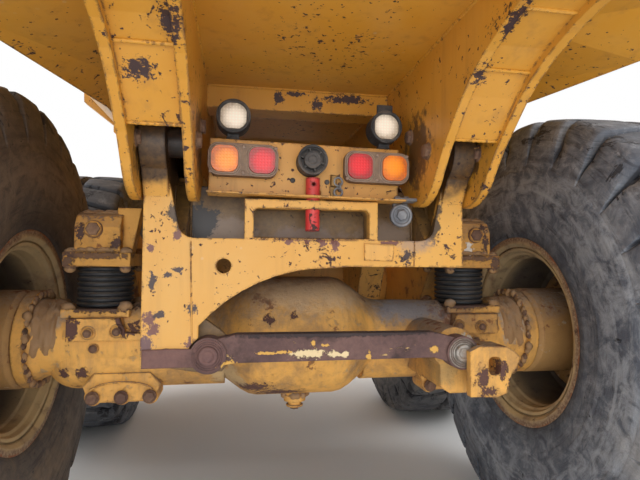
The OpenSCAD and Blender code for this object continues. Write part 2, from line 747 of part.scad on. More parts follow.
// Housing of an axle: arms with their bellies, bowl, pinion nose, spring seats,
// saddles and brackets. The cross rod's bracket reaches lower by drop.
module axle_housing(drop) {
    flare = [for (i = [0 : 6]) bowl_flat + (bowl_w - bowl_flat) * i / 6];
    arm = concat([[0, bowl_r]], [for (x = flare) [x, flare_r(x)]], [
        [end_flange_x - 110, arm_r], [end_flange_x - 62, arm_r + 5],
        [end_flange_x - 40, arm_r + 16], [end_flange_x - 32, end_flange_r - 22],
        [end_flange_x - 32, end_flange_r], [end_flange_x, end_flange_r],
        [end_flange_x, spindle_r], [track / 2 - 20, spindle_r]]);
    n = len(arm);
    belly_x = end_flange_x - 158;
    cheek_y = spring_y + seat_len / 2 - 20;
    difference() {
        union() {
            turned_x(concat(
                [[-track / 2 + 20, 0]],
                [for (i = [n - 1 : -1 : 1]) [-arm[i][0], arm[i][1]]],
                [for (i = [0 : n - 1]) arm[i]],
                [[track / 2 - 20, 0]]));
            turned_y([
                [0, 0], [0, bowl_r - 6], [bowl_front - 60, bowl_r - 6],
                [bowl_front, bowl_r - 36], [bowl_front + 25, 120],
                [nose_reach - 25, 70], [nose_reach - 25, nose_flange_r],
                [nose_reach, nose_flange_r], [nose_reach, 0]]);
            // drain boss with its plug
            translate([3, -30, -bowl_r - 22]) cylinder(h = 60, r = 38);
            translate([3, -30, -bowl_r - 40]) cylinder(h = 60, r = 22);
            both() {
                bar_x(bowl_w - 60, belly_x, 0, -belly_drop, belly_r);
                translate([belly_x, 0, -belly_drop]) sphere(r = belly_r);
                // seat of the spring, the cheeks under it and the rear face's pad
                translate([spring_x - seat_w / 2, spring_y - seat_len / 2,
                    spring_low - seat_t]) cube([seat_w, seat_len, seat_t]);
                along_x(spring_x - seat_w / 2 + 12, seat_w - 24) polygon([
                    [-cheek_y + 2 * spring_y, spring_low - seat_t], [-arm_r - 6, 20],
                    [-60, -60], [60, -60], [cheek_y, spring_low - seat_t]]);
                along_y(-arm_r - 22, 60) polygon([
                    [spring_x + 75, 8], [spring_x + 75, spring_low - seat_t],
                    [spring_x - 80, spring_low - seat_t], [spring_x - 98, 34],
                    [spring_x - 165, 28], [spring_x - 165, 8]]);
                for (b = [[11, 33, -arm_r - 30], [-75, 37, -arm_r - 32], [-1, -18, -arm_r - 7]])
                    bar_y_axis(b[2], -arm_r + 20, spring_x + b[0], b[1], 15);
                // saddle under the arm and the clevis of the locating rod
                along_y(-arm_r + 10, 90) saddle_outline();
                for (i = [-1 : 1]) bar_y_axis(-arm_r - 3, -arm_r + 20,
                    rod_x + i * lobe_gap, -172, lobe_r - 9);
                for (s = [-1, 1]) along_x(rod_x + s * (rod_eye_w / 2 + 18) - 14, 28)
                    polygon([
                        [-arm_r + 30, -100], [-arm_r + 30, -176], [60, -180],
                        [rod_rear_y + 38, -168], [rod_rear_y + 44, -95],
                        [rod_rear_y - 30, -55], [0, -60]]);
            }
            rod_bracket(drop);
        }
        // flat seats for the springs
        both() translate([spring_x - seat_w / 2, -200, spring_low]) cube([seat_w, 400, 60]);
        // pin of the cross rod
        bar_y_axis(-panhard_y, -arm_r - 20, panhard_right[0], panhard_right[1] - drop,
            panhard_pin_r + seat_gap);
        // pins of the locating rods
        both() bar_x(rod_x - 70, rod_x + 70, rod_rear_y, rod_rear_z, rod_pin_r + seat_gap);
    }
}

module rear_axle() { color(frame_yellow) at_hitch() axle_housing(0); }

module middle_axle() {
    color(frame_yellow) at_hitch() translate([0, axle_gap, 0]) union() {
        mirror([0, 1, 0]) axle_housing(middle_drop);
        turned_y([
            [0, 0], [0, 150], [bowl_front, 120], [nose_reach - 25, 70],
            [nose_reach - 25, nose_flange_r], [nose_reach, nose_flange_r],
            [nose_reach, 0]]);
    }
}

// Forged cross rod with an eye at each end
module panhard_rod(left) {
    y0 = -panhard_y - panhard_eye_w / 2;
    bar_h = 72;
    difference() {
        union() {
            for (p = [left, panhard_right])
                bar_y_axis(y0, y0 + panhard_eye_w, p[0], p[1], panhard_eye_r);
            along_y(y0 + 8, panhard_eye_w - 16) polygon([
                [left[0], left[1] - 32], [left[0] + 75, -12], [360, -12],
                [panhard_right[0], panhard_right[1] - 38],
                [panhard_right[0], panhard_right[1] + 38], [360, bar_h - 12],
                [left[0] + 75, bar_h - 8], [left[0], left[1] + 38]]);
        }
        for (p = [left, panhard_right])
            bar_y_axis(y0 - 1, y0 + panhard_eye_w + 1, p[0], p[1],
                panhard_pin_r + seat_gap);
    }
    for (p = [left, panhard_right])
        bar_y_axis(y0 - 6, y0 + panhard_eye_w + 22, p[0], p[1], panhard_pin_r);
}

module panhard_rods() {
    middle_left = [-half_frame + 50, panhard_left[1]];
    color(rust_brown) at_hitch() {
        panhard_rod(panhard_left);
        translate([0, axle_gap, -middle_drop]) mirror([0, 1, 0]) panhard_rod(middle_left);
    }
}

// Rods that locate the axles fore and aft, under the arms
module torque_rods() {
    color(rust_brown) at_hitch() both() for (s = [-1, 1]) {
        a = [bay_y + s * rod_spread, rod_front_z];
        b = [bay_y + s * (bay_y - rod_rear_y), rod_rear_z];
        x0 = rod_x - rod_eye_w / 2;
        difference() {
            union() {
                for (p = [a, b]) bar_x(x0, x0 + rod_eye_w, p[0], p[1], 40);
                along_x(rod_x - 14, 28) polygon([
                    [a[0], a[1] - 22], [b[0], b[1] - 22], [b[0], b[1] + 22],
                    [a[0], a[1] + 22]]);
            }
            for (p = [a, b]) bar_x(x0 - 1, x0 + rod_eye_w + 1, p[0], p[1], rod_pin_r + seat_gap);
        }
        for (p = [a, b]) bar_x(rod_x - hanger_half + 3, rod_x + hanger_half - 3,
            p[0], p[1], rod_pin_r);
    }
}

// A prop shaft: a flange and a universal joint at each end, and the tube between
module prop_shaft(a, b, r) {
    joint_in = 75;
    pa = a + [0, joint_in, 0];
    pb = b - [0, joint_in, 0];
    d = pb - pa;
    for (end = [[a, 0], [b, 1]]) translate(end[0]) mirror([0, end[1], 0]) turned_y([
        [0, 0], [0, nose_flange_r], [18, nose_flange_r], [24, 42], [joint_in, 38],
        [joint_in, 0]]);
    for (p = [pa, pb]) translate(p) sphere(r = 56);
    translate(pa) rotate([-90 + atan2(d[2], d[1]), 0, 0]) rotate_extrude(angle = 360)
        polygon([[0, 0], [44, 0], [44, 95], [r, 150], [r, norm(d) - 150],
            [44, norm(d) - 95], [44, norm(d)], [0, norm(d)]]);
}

module prop_shafts() {
    flange_y = bearing_y + 175;
    color(rust_brown) at_hitch() {
        prop_shaft([0, nose_reach, 0], [0, axle_gap - nose_reach, 0], 45);
        prop_shaft([0, axle_gap + nose_reach, 0], [0, bearing_y - 60, shaft_low_z], 50);
        // shaft in its carrier bearing, with the input flange in front
        difference() {
            translate([0, 0, shaft_low_z]) turned_y([
                [bearing_y - 60, 0], [bearing_y - 60, nose_flange_r],
                [bearing_y - 30, nose_flange_r], [bearing_y - 30, 45], [bearing_y, 45],
                [bearing_y, bearing_r], [bearing_y + 120, bearing_r], [bearing_y + 120, 45],
                [flange_y - 25, 45], [flange_y - 25, drive_flange_r],
                [flange_y, drive_flange_r], [flange_y, 0]]);
            for (i = [0 : drive_bolts - 1]) translate([0, 0, shaft_low_z])
                rotate([0, (i + 0.5) * 360 / drive_bolts, 0])
                    bar_y_axis(flange_y - 26, flange_y + 1, drive_pcr, 0, drive_bolt_r);
        }
    }
}

// Wheels

// Half of a tyre's outside at the tips of its lugs, [place across, radius]
function lug_half() = let (w = tyre_w / 2, mid = (tyre_r + bead_r) / 2) [
    [w - 6, mid + 30], [w - 24, tyre_r - 72], [w - 56, tyre_r - 12], [0, tyre_r]];

// Half of the line in the carcass's wall where the lugs end, [place across, radius]
function lug_root() = let (w = tyre_w / 2, mid = (tyre_r + bead_r) / 2,
        low = tyre_r - lug_depth) [
    [w - 20, mid + 30], [w - 36, mid + 86], [w - 76, low - 50], [0, low - 22]];

// Half of a tyre's outside from the bead to the crown, between the lugs
function tyre_half() = let (w = tyre_w / 2, mid = (tyre_r + bead_r) / 2,
        low = tyre_r - lug_depth) [
    [rim_w / 2 - 14 - seat_gap, bead_r + seat_gap],
    [rim_w / 2 - 14 - seat_gap, flange_r + seat_gap], [rim_w / 2 + 4, flange_r + 3],
    [w - 14, mid - 120], [w - 3, mid - 60], [w, mid], [w - 3, mid + 60],
    [w - 22, mid + 92], [w - 54, tyre_r - 88], [w - 84, low - 16],
    [w - 120, low - 4], [0, low]];

function tyre_inner() = let (w = tyre_w / 2 - 32, mid = (tyre_r + bead_r) / 2,
    crown = tyre_r - lug_depth - carcass_t) [
    [0, crown], [w - 70, crown - 12], [w - 24, mid + 82], [w, mid], [w - 14, mid - 110],
    [rim_w / 2 - 50, bead_r + seat_gap]];

// The same section on both sides of the tyre's middle
function both_halves(half) = let (n = len(half))
    concat(half, [for (i = [n - 2 : -1 : 0]) [-half[i][0], half[i][1]]]);

// Plan of one lug: its rows are [place across, way along, half length along]
module lug_plan() {
    pitch = 2 * PI * tyre_r / lugs;
    w = tyre_w / 2;
    half = pitch * lug_share / 2;
    rows = [[8, 0, half - 12], [w * 0.55, 60, half - 2], [w + 5, 92, half - 8]];
    polygon(concat(
        [for (r = rows) [r[0], -r[1] - r[2]]],
        [for (i = [len(rows) - 1 : -1 : 0]) [rows[i][0], -rows[i][1] + rows[i][2]]]));
}

// Lugs of both halves, half a pitch apart, trimmed to the tyre's outside. They
// start a quarter of a pitch past the seam of the turned carcass.
module tyre_lugs() {
    low = (tyre_r + bead_r) / 2 - 20;
    root = both_halves(lug_root());
    intersection() {
        for (k = [0 : lugs - 1], half = [0, 1])
            rotate([(k + 0.25 + half / 2) * 360 / lugs, 0, 0]) mirror([half, 0, 0])
                translate([0, 0, low]) linear_extrude(tyre_r - low + 20) lug_plan();
        turned_x(concat(both_halves(lug_half()),
            [for (i = [len(root) - 1 : -1 : 0]) root[i]]));
    }
}

module tyre() {
    inner = tyre_inner();
    m = len(inner);
    turned_x(concat(both_halves(tyre_half()),
        [for (i = [m - 1 : -1 : 1]) [-inner[i][0], inner[i][1]]], inner));
    tyre_lugs();
}

module rim() {
    w = rim_w / 2;
    outer = [[w, flange_r], [w - 13, flange_r], [w - 14, bead_r], [w - 60, bead_r - 3],
        [w - 110, bead_r - 24]];
    inner = [[w, flange_r - 24], [w - 14, bead_r + 4], [w - 18, bead_r - 12],
        [w - 34, bead_r - 18], [w - 40, rim_bore_r + 9], [w - 75, rim_bore_r + 7],
        [w - 82, rim_bore_r]];
    n = len(outer);
    m = len(inner);
    turned_x(concat(
        outer, [for (i = [n - 1 : -1 : 0]) [-outer[i][0], outer[i][1]]],
        [for (i = [0 : m - 1]) [-inner[i][0], inner[i][1]]],
        [for (i = [m - 1 : -1 : 0]) inner[i]]));
    turned_x([
        [disc_set, cover_r], [disc_set, rim_bore_r - 30],
        [disc_set - 20, rim_bore_r + 4], [disc_set + 5, rim_bore_r + 4],
        [disc_set + disc_t, rim_bore_r - 30], [disc_set + disc_t, cover_r]]);
}

module hub() {
    turned_x([
        [6 - flange_set, spindle_r + pin_gap], [6 - flange_set, drum_r - 12],
        [22 - flange_set, drum_r], [-60, drum_r],
        [-20, drum_r + 12], [disc_set - 28, drum_r + 12], [disc_set - 28, hub_flange_r],
        [disc_set, hub_flange_r], [disc_set, cover_r - seat_gap],
        [disc_set + cover_reach - 40, cover_r - 4],
        [disc_set + cover_reach - 10, cover_r - 30],
        [disc_set + cover_reach, cover_r - 60], [disc_set + cover_reach, 0],
        [-10, 0], [-10, spindle_r + pin_gap]]);
}

// Places a wheel's piece on an axle at y, on side s
module at_wheel(s, y) {
    at_hitch() translate([s * track / 2, y, 0]) mirror([s < 0 ? 1 : 0, 0, 0]) children();
}

module tyre_rear_left() { color(tyre_grey) at_wheel(-1, 0) tyre(); }
module tyre_rear_right() { color(tyre_grey) at_wheel(1, 0) tyre(); }
module tyre_middle_left() { color(tyre_grey) at_wheel(-1, axle_gap) tyre(); }
module tyre_middle_right() { color(tyre_grey) at_wheel(1, axle_gap) tyre(); }
module rim_rear_left() { color(rim_brown) at_wheel(-1, 0) rim(); }
module rim_rear_right() { color(rim_brown) at_wheel(1, 0) rim(); }
module rim_middle_left() { color(rim_brown) at_wheel(-1, axle_gap) rim(); }
module rim_middle_right() { color(rim_brown) at_wheel(1, axle_gap) rim(); }
module hub_rear_left() { color(rust_brown) at_wheel(-1, 0) hub(); }
module hub_rear_right() { color(rust_brown) at_wheel(1, 0) hub(); }
module hub_middle_left() { color(rust_brown) at_wheel(-1, axle_gap) hub(); }
module hub_middle_right() { color(rust_brown) at_wheel(1, axle_gap) hub(); }

// Tipping body

// Stations of the shell, tail to front:
// [y at the floor, lean, half width of the floor, height of its underside]
stations = [
    [-body_tail, tail_lean, tail_half, floor_z + tail_rise],
    [-tail_fold, 0.30, fold_half, floor_z],
    [-20, 0.05, floor_half, floor_z],
    [body_front, wall_lean, floor_half, floor_z]];

// Ring of the shell's outside at one station
function shell_ring(s) = [for (p = [[-top_half, top_z], [-knee_half, knee_z],
        [-s[2], s[3]], [s[2], s[3]], [knee_half, knee_z], [top_half, top_z]])
    [p[0], s[0] + s[1] * (p[1] - s[3]), p[1]]];

// Ring of the load space at one station, moved along by past and open upward
function space_ring(s, past) = let (over = top_z + 20) [for (p = [
        [-top_half + side_t, over], [-knee_half + side_t, knee_z + 5],
        [-s[2] + 5, s[3] + floor_t], [s[2] - 5, s[3] + floor_t],
        [knee_half - side_t, knee_z + 5], [top_half - side_t, over]])
    [p[0], s[0] + past + s[1] * (p[1] - s[3]), p[1]]];

module body_shell() {
    last = len(stations) - 1;
    color(body_yellow) at_hitch() difference() {
        loft([for (s = stations) shell_ring(s)]);
        loft([for (i = [0 : last])
            space_ring(stations[i], i == 0 ? -5 : i == last ? 5 : 0)]);
    }
}

// Outline of the front wall at depth d behind its front face
function wall_ring(d) =
    [for (p = [[-top_half, wall_z - 130], [-top_half, top_z], [-knee_half, knee_z],
            [-floor_half, floor_z], [floor_half, floor_z], [knee_half, knee_z],
            [top_half, top_z], [top_half, wall_z - 130], [top_half - 260, wall_z],
            [-top_half + 260, wall_z]])
        [p[0], body_front + wall_lean * (p[1] - floor_z) + d, p[1]]];

module body_front_wall() {
    color(body_yellow) at_hitch() loft([wall_ring(seat_gap), wall_ring(side_t)]);
}

// Rails along the tops of the sides, and the ribs under them
module body_rails() {
    first_rib = 320;
    rib_pitch = (body_front - 700 - first_rib) / (ribs - 1);
    tail_top = -body_tail + tail_lean * (top_z - floor_z - tail_rise);
    front_top = body_front + wall_lean * (top_z - floor_z);
    side = [[(knee_z - 250 - floor_z) / knee_slope + floor_half, knee_z - 250],
        [knee_half, knee_z], [top_half, top_z - top_rail_h]];
    color(body_yellow) at_hitch() both() union() {
        translate([top_half, tail_top, top_z - top_rail_h])
            cube([top_rail_w, front_top - tail_top, top_rail_h]);
        for (i = [0 : ribs - 1]) along_y(first_rib + i * rib_pitch, rib_w) polygon([
            side[0], [side[1][0] + rib_d, side[1][1] - 20],
            [side[2][0] + rib_d, side[2][1]], side[2], side[1]]);
    }
}

// Side outline of a keel plate: the arm behind the hinge, then the keel ahead
module keel_outline() {
    sole = rail_top + keel_gap;
    front = body_front - 60;
    union() {
        polygon([
            [-hinge_y - 110, hinge_z - 108], [-600, 553], [-700, 645], [-750, 680],
            [-810, 710], [-900, 740], [-1000, 760], [-1380, floor_z - 20],
            [-body_tail + 20, floor_z + tail_rise - 14], [-tail_fold, floor_z], [front, floor_z],
            [front, floor_z - 110], [front - 500, sole], [-hinge_y + 190, sole],
            [-hinge_y + 110, hinge_z - 108]]);
        translate([-hinge_y, hinge_z]) circle(tip_r);
    }
}

// A strip of plate between the two keel plates, along points [y, z]
module web_strip(points) {
    n = len(points);
    along_x(keel_in + keel_t / 2, keel_out - keel_in - keel_t) polygon(concat(
        points, [for (i = [n - 1 : -1 : 0]) [points[i][0] + web_t * 0.5, points[i][1] + web_t]]));
}

module body_keels() {
    sole = rail_top + keel_gap;
    tail_line = [[-605, 575], [-690, 655], [-745, 698], [-805, 728], [-900, 758],
        [-1000, 778], [-1370, floor_z]];
    color(body_yellow) at_hitch() difference() {
        union() {
            both() {
                for (x = [keel_in, keel_out]) along_x(x - keel_t / 2, keel_t) keel_outline();
                web_strip(tail_line);
                // sole that comes down on the rest pads
                translate([keel_in, -hinge_y + 330, sole])
                    cube([keel_out - keel_in, body_front - 560 + hinge_y - 330, web_t]);
                // lugs of the hoist's upper pin
                for (s = [-1, 1]) along_x(hoist_x + s * (eye_w / 2 + clearance + 12) - 10, 20)
                    polygon([
                        [hoist_top_y - 90, floor_z], [hoist_top_y - 75, hoist_top_z - 50],
                        [hoist_top_y + 75, hoist_top_z - 50], [hoist_top_y + 90, floor_z]]);
            }
            // beams under the floor between the keels
            for (y = [-140, 700, 1500, 2300, 3100])
                translate([-keel_in, y, floor_z - 74]) cube([2 * keel_in, 100, 74]);
        }
        both() bar_x(keel_in - keel_t / 2 + pin_cap, keel_out + 60, -hinge_y, hinge_z,
            hinge_r + seat_gap);
    }
}

// Closing pieces from the keels to the lower edges of the sides
module body_wings() {
    x0 = keel_out + keel_t / 2;
    edge = [[-body_tail + 160, tail_half - 45, 0], [-tail_fold, fold_half - 40, 0],
        [-680, 806, 60], [-20, floor_half - 50, 60], [560, floor_half - 50, 60]];
    color(body_yellow) at_hitch() both() loft([for (e = edge)
        let (d = max(e[2], 12), w = e[1])
            [[x0, e[0], floor_z], [w, e[0], floor_z - d], [w + 18, e[0], floor_z]]]);
}

// Hinge pins with their heads outside the keels
module hinge_pins() {
    inner = keel_in - keel_t / 2 + pin_cap;
    outer = keel_out + keel_t / 2;
    color(rust_brown) at_hitch() both() {
        bar_x(inner + seat_gap, outer + 2, -hinge_y, hinge_z, hinge_r);
        bar_x(outer, outer + 14, -hinge_y, hinge_z, hinge_r + 18);
    }
}

// Hoist

module hoist_pins() {
    color(rust_brown) at_hitch() both() {
        bar_x(half_frame - 60, hoist_x + eye_w / 2 + 10, hoist_low_y, hoist_low_z, hoist_pin_r);
        bar_x(hoist_x + eye_w / 2 + 2, hoist_x + eye_w / 2 + 12, hoist_low_y, hoist_low_z,
            hoist_pin_r + 12);
    }
}

// Places what is drawn along +Y from the lower pin onto the cylinder's line
module at_hoist(s) {
    at_hitch() translate([s * hoist_x, hoist_low_y, hoist_low_z])
        rotate([hoist_angle, 0, 0]) children();
}

module hoist_barrel() {
    gland = hoist_len - gland_gap;
    difference() {
        union() {
            bar_x(-eye_w / 2, eye_w / 2, 0, 0, eye_r);
            turned_y([
                [30, 0], [30, eye_w / 2 - 3], [eye_r - 2, eye_w / 2 - 3],
                [eye_r + 30, barrel_r],
                [gland - 60, barrel_r], [gland - 60, barrel_r + 2], [gland, barrel_r + 2],
                [gland, 0]]);
        }
        bar_x(-eye_w, eye_w, 0, 0, hoist_pin_r + pin_gap);
        bar_y_axis(110, gland - 60, 0, 0, barrel_bore);
        bar_y_axis(100, gland + 1, 0, 0, rod_r + pin_gap);
    }
}

module hoist_rod() {
    translate([0, hoist_len, 0]) difference() {
        union() {
            bar_x(-eye_w / 2, eye_w / 2, 0, 0, eye_r);
            turned_y([
                [-hoist_len + 130, 0], [-hoist_len + 130, barrel_bore - pin_gap],
                [-hoist_len + 190, barrel_bore - pin_gap], [-hoist_len + 190, rod_r],
                [-112, rod_r], [-96, eye_w / 2 - 3], [0, eye_w / 2 - 3], [0, 0]]);
        }
        bar_x(-eye_w, eye_w, 0, 0, hoist_pin_r + seat_gap);
    }
    translate([0, hoist_len, 0]) bar_x(-eye_w / 2 - 4, eye_w / 2 + 4, 0, 0, hoist_pin_r);
}

module hoist_barrel_left() { color(frame_yellow) at_hoist(-1) hoist_barrel(); }
module hoist_barrel_right() { color(frame_yellow) at_hoist(1) hoist_barrel(); }
module hoist_rod_left() { color("silver") at_hoist(-1) hoist_rod(); }
module hoist_rod_right() { color("silver") at_hoist(1) hoist_rod(); }

// Light bar and its lamps

// Turns what is drawn about the rear axle with the bar's droop
module on_bar() {
    at_hitch() translate([0, 0, bar_low]) rotate([0, bar_tilt, 0])
        translate([0, 0, -bar_low]) children();
}

module light_bar() {
    top = bar_low + bar_h;
    color(frame_yellow) on_bar() difference() {
        along_x(-bar_left, bar_left + bar_right) polygon([
            [-bar_y - lip_d, bar_low], [-bar_y + bar_t, bar_low],
            [-bar_y + bar_t, top - bar_t], [-bar_y + 40, top - bar_t], [-bar_y + 40, top],
            [-bar_y, top], [-bar_y, bar_low + bar_t], [-bar_y - lip_d, bar_low + bar_t]]);
        translate([lock_x + 8, lock_y, bar_low - 50]) cylinder(h = 80, r = lock_r + 10);
    }
}

module lamp_housings() {
    w = amber_x - red_x + lens_w + 14;
    color([0.45, 0.39, 0.34]) on_bar() both() difference() {
        translate([(amber_x + red_x) / 2, 0, lamp_z]) along_y(-bar_y - 34, 34)
            round_box(w, lens_w + 18, 24);
        for (x = [amber_x, red_x]) translate([x, 0, lamp_z]) along_y(-bar_y - 35, 19)
            round_box(lens_w + 2 * seat_gap, lens_w + 2 * seat_gap, 24);
    }
}

module lens(x) {
    translate([x, 0, lamp_z]) along_y(-bar_y - 40, 24) round_box(lens_w, lens_w, 24);
}

module amber_lamps() { color([0.98, 0.58, 0.12]) on_bar() both() lens(amber_x); }
module red_lamps() { color([0.86, 0.12, 0.16]) on_bar() both() lens(red_x); }

module work_lamps() {
    y = -bar_y + 12;
    top = bar_low + bar_h;
    color(dull_black) on_bar() both() union() {
        difference() {
            bar_y_axis(y - 28, y + 30, work_x, work_z, work_r);
            bar_y_axis(y - 29, y - 10, work_x, work_z, work_r - 9);
        }
        translate([work_x - 16, y - 6, top]) cube([32, 24, work_z - work_r - top + 8]);
    }
    // strap over the right lamp
    color(rust_brown) on_bar() along_y(y + 30, 10) polygon([
        [work_x - 20, work_z], [work_x + 20, work_z], [work_x + 36, work_z + 62],
        [work_x + 36, work_z + 84], [work_x - 12, work_z + 84], [work_x - 12, work_z + 62]]);
}

module work_lenses() {
    y = -bar_y + 12;
    color([0.94, 0.89, 0.80]) on_bar() both()
        bar_y_axis(y - 24, y - 10, work_x, work_z, work_r - 9 - seat_gap);
}

module reversing_alarm() {
    z = lamp_z + 8;
    color(dull_black) on_bar() union() {
        difference() {
            bar_y_axis(-bar_y - 52, -bar_y, 0, z, alarm_r);
            bar_y_axis(-bar_y - 53, -bar_y - 30, 0, z, alarm_r - 6);
        }
        bar_y_axis(-bar_y - 50, -bar_y - 29, 0, z, alarm_r - 18);
        for (a = [0 : 60 : 300]) translate([0, 0, z]) rotate([0, a + 15, 0])
            translate([0, -bar_y - 46, -2]) cube([alarm_r - 3, 17, 4]);
    }
}

module lock_pin() {
    color([0.86, 0.20, 0.18]) at_hitch() difference() {
        translate([lock_x, lock_y, 347]) cylinder(h = 150, r = lock_r);
        bar_y_axis(-end_y - 10, -end_y + 60, lock_x, 478, 5);
    }
}

rear_frame();
frame_end();
hitch_tube();
rest_pads();
walking_beams();
rubber_springs();
rear_axle();
middle_axle();
panhard_rods();
torque_rods();
prop_shafts();
hoist_pins();
light_bar();
lamp_housings();
amber_lamps();
red_lamps();
work_lamps();
work_lenses();
reversing_alarm();
lock_pin();
tyre_rear_left();
tyre_rear_right();
tyre_middle_left();
tyre_middle_right();
rim_rear_left();
rim_rear_right();
rim_middle_left();
rim_middle_right();
hub_rear_left();
hub_rear_right();
hub_middle_left();
hub_middle_right();
body_shell();
body_front_wall();
body_rails();
body_keels();
body_wings();
hinge_pins();
hoist_barrel_left();
hoist_barrel_right();
hoist_rod_left();
hoist_rod_right();
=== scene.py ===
"""Looks of an articulated dump truck's rear unit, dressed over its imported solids.

Metres, X to the right, Y forward, Z up, origin on the hitch's axis. Places near the
rear axle are written about that axle's centre and moved there by Layout.at.
"""

import json
import logging
import math
from dataclasses import dataclass, field
from enum import Enum
from typing import Iterable, Iterator, Sequence

import bmesh
import bpy
import numpy as np
from mathutils import Matrix, Vector

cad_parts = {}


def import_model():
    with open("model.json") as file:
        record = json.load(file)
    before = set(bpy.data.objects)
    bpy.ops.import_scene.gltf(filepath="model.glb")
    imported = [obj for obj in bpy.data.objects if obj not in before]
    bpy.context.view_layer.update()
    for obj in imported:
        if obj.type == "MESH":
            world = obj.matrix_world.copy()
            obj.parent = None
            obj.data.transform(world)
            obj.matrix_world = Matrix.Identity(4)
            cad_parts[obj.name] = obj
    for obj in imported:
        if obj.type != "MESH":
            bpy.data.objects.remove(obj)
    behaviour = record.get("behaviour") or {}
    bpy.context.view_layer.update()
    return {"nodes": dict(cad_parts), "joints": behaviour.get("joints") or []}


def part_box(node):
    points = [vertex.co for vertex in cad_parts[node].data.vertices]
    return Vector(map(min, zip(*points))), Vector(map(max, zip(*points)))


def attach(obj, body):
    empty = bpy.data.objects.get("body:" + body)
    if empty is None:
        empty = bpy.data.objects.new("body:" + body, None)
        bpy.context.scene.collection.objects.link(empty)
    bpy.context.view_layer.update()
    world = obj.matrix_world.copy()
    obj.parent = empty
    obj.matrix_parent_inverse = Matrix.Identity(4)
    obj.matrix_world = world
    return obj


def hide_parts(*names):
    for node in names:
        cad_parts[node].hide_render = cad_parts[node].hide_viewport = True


LOG = logging.getLogger("rear_unit")
Array = np.ndarray
Colour = tuple[float, float, float]
Place = tuple[float, float, float]
TAU = 2 * math.pi
# places about the rear axle's centre: the hinge pins' y and z, the end plate's face, and
# the bolts of a spring's seat about the middle of the seat in x and y
HINGE = (-0.42, 0.575)
END_FACE = -0.42
SEAT_BOLTS = ((-0.084, -0.085), (-0.084, 0.125), (0.084, -0.085), (0.084, 0.125))


class Side(Enum):
    """Side of the vehicle, with the sign of its X."""

    LEFT = -1
    RIGHT = 1


class Axis(Enum):
    """An axis of the frame, as a row and the two rows that follow it round."""

    X = (0, 1, 2)
    Y = (1, 2, 0)
    Z = (2, 0, 1)


def paint(red: int, green: int, blue: int) -> Colour:
    """Turns an 8 bit screen colour into the linear one that shaders take."""
    level = np.array([red, green, blue]) / 255.0
    linear = np.where(level <= 0.04045, level / 12.92, ((level + 0.055) / 1.055) ** 2.4)
    return tuple(float(v) for v in linear)


# Shader arithmetic

@dataclass(frozen=True)
class Signal:
    """One output socket of a node tree, with arithmetic that adds Math nodes."""

    nodes: "Nodes"
    socket: bpy.types.NodeSocket

    def _math(self, operation: str, *values: object) -> "Signal":
        """Adds one Math node."""
        return self.nodes.node("ShaderNodeMath", {"operation": operation}, dict(enumerate(values)))

    def __add__(self, other: object) -> "Signal":
        """Sum."""
        return self._math("ADD", self, other)

    __radd__ = __add__

    def __mul__(self, other: object) -> "Signal":
        """Product."""
        return self._math("MULTIPLY", self, other)

    __rmul__ = __mul__

    def __sub__(self, other: object) -> "Signal":
        """Difference."""
        return self._math("SUBTRACT", self, other)

    def __rsub__(self, other: object) -> "Signal":
        """Difference from a number."""
        return self._math("SUBTRACT", other, self)

    def __truediv__(self, other: object) -> "Signal":
        """Quotient."""
        return self._math("DIVIDE", self, other)

    def least(self, other: object) -> "Signal":
        """Smaller of the two."""
        return self._math("MINIMUM", self, other)

    def most(self, other: object) -> "Signal":
        """Larger of the two."""
        return self._math("MAXIMUM", self, other)

    def root(self) -> "Signal":
        """Square root."""
        return self._math("SQRT", self)

    def wave(self) -> "Signal":
        """Sine, moved to run from 0 to 1."""
        return self._math("SINE", self) * 0.5 + 0.5

    def step(self, low: float, high: float) -> "Signal":
        """Soft step: 0 below low, 1 above high, or the other way round if low is higher."""
        return self.nodes.node(
            "ShaderNodeMapRange", {"interpolation_type": "SMOOTHSTEP", "clamp": True},
            {"Value": self, "From Min": low, "From Max": high})

    def band(self, low: float, full: float, falls: float, high: float) -> "Signal":
        """1 between full and falls, and 0 below low and above high."""
        return self.step(low, full) - self.step(falls, high)


@dataclass
class Nodes:
    """A node tree, with one method that adds any node."""

    tree: bpy.types.NodeTree

    def feed(self, target: bpy.types.NodeSocket, value: object) -> None:
        """Links a signal to a socket, or writes a number, vector or colour into it."""
        if isinstance(value, Signal):
            self.tree.links.new(value.socket, target)
        elif isinstance(value, tuple) and len(value) == 3 and target.type == "RGBA":
            target.default_value = (*value, 1.0)
        else:
            target.default_value = value

    def node(self, kind: str, settings: dict, inputs: dict, output: object = 0) -> Signal:
        """Adds one node.

        Args:
            kind: the node's type.
            settings: its settings, set first.
            inputs: values or signals by the sockets' names or numbers.
            output: name or number of the wanted output.

        Returns:
            That output's signal.
        """
        made = self.tree.nodes.new(kind)
        for key, value in settings.items():
            setattr(made, key, value)
        for key, value in inputs.items():
            self.feed(made.inputs[key], value)
        return Signal(self, made.outputs[output])

    def first(self, kind: str) -> bpy.types.Node:
        """The tree's first node of a type."""
        return next(n for n in self.tree.nodes if n.type == kind)


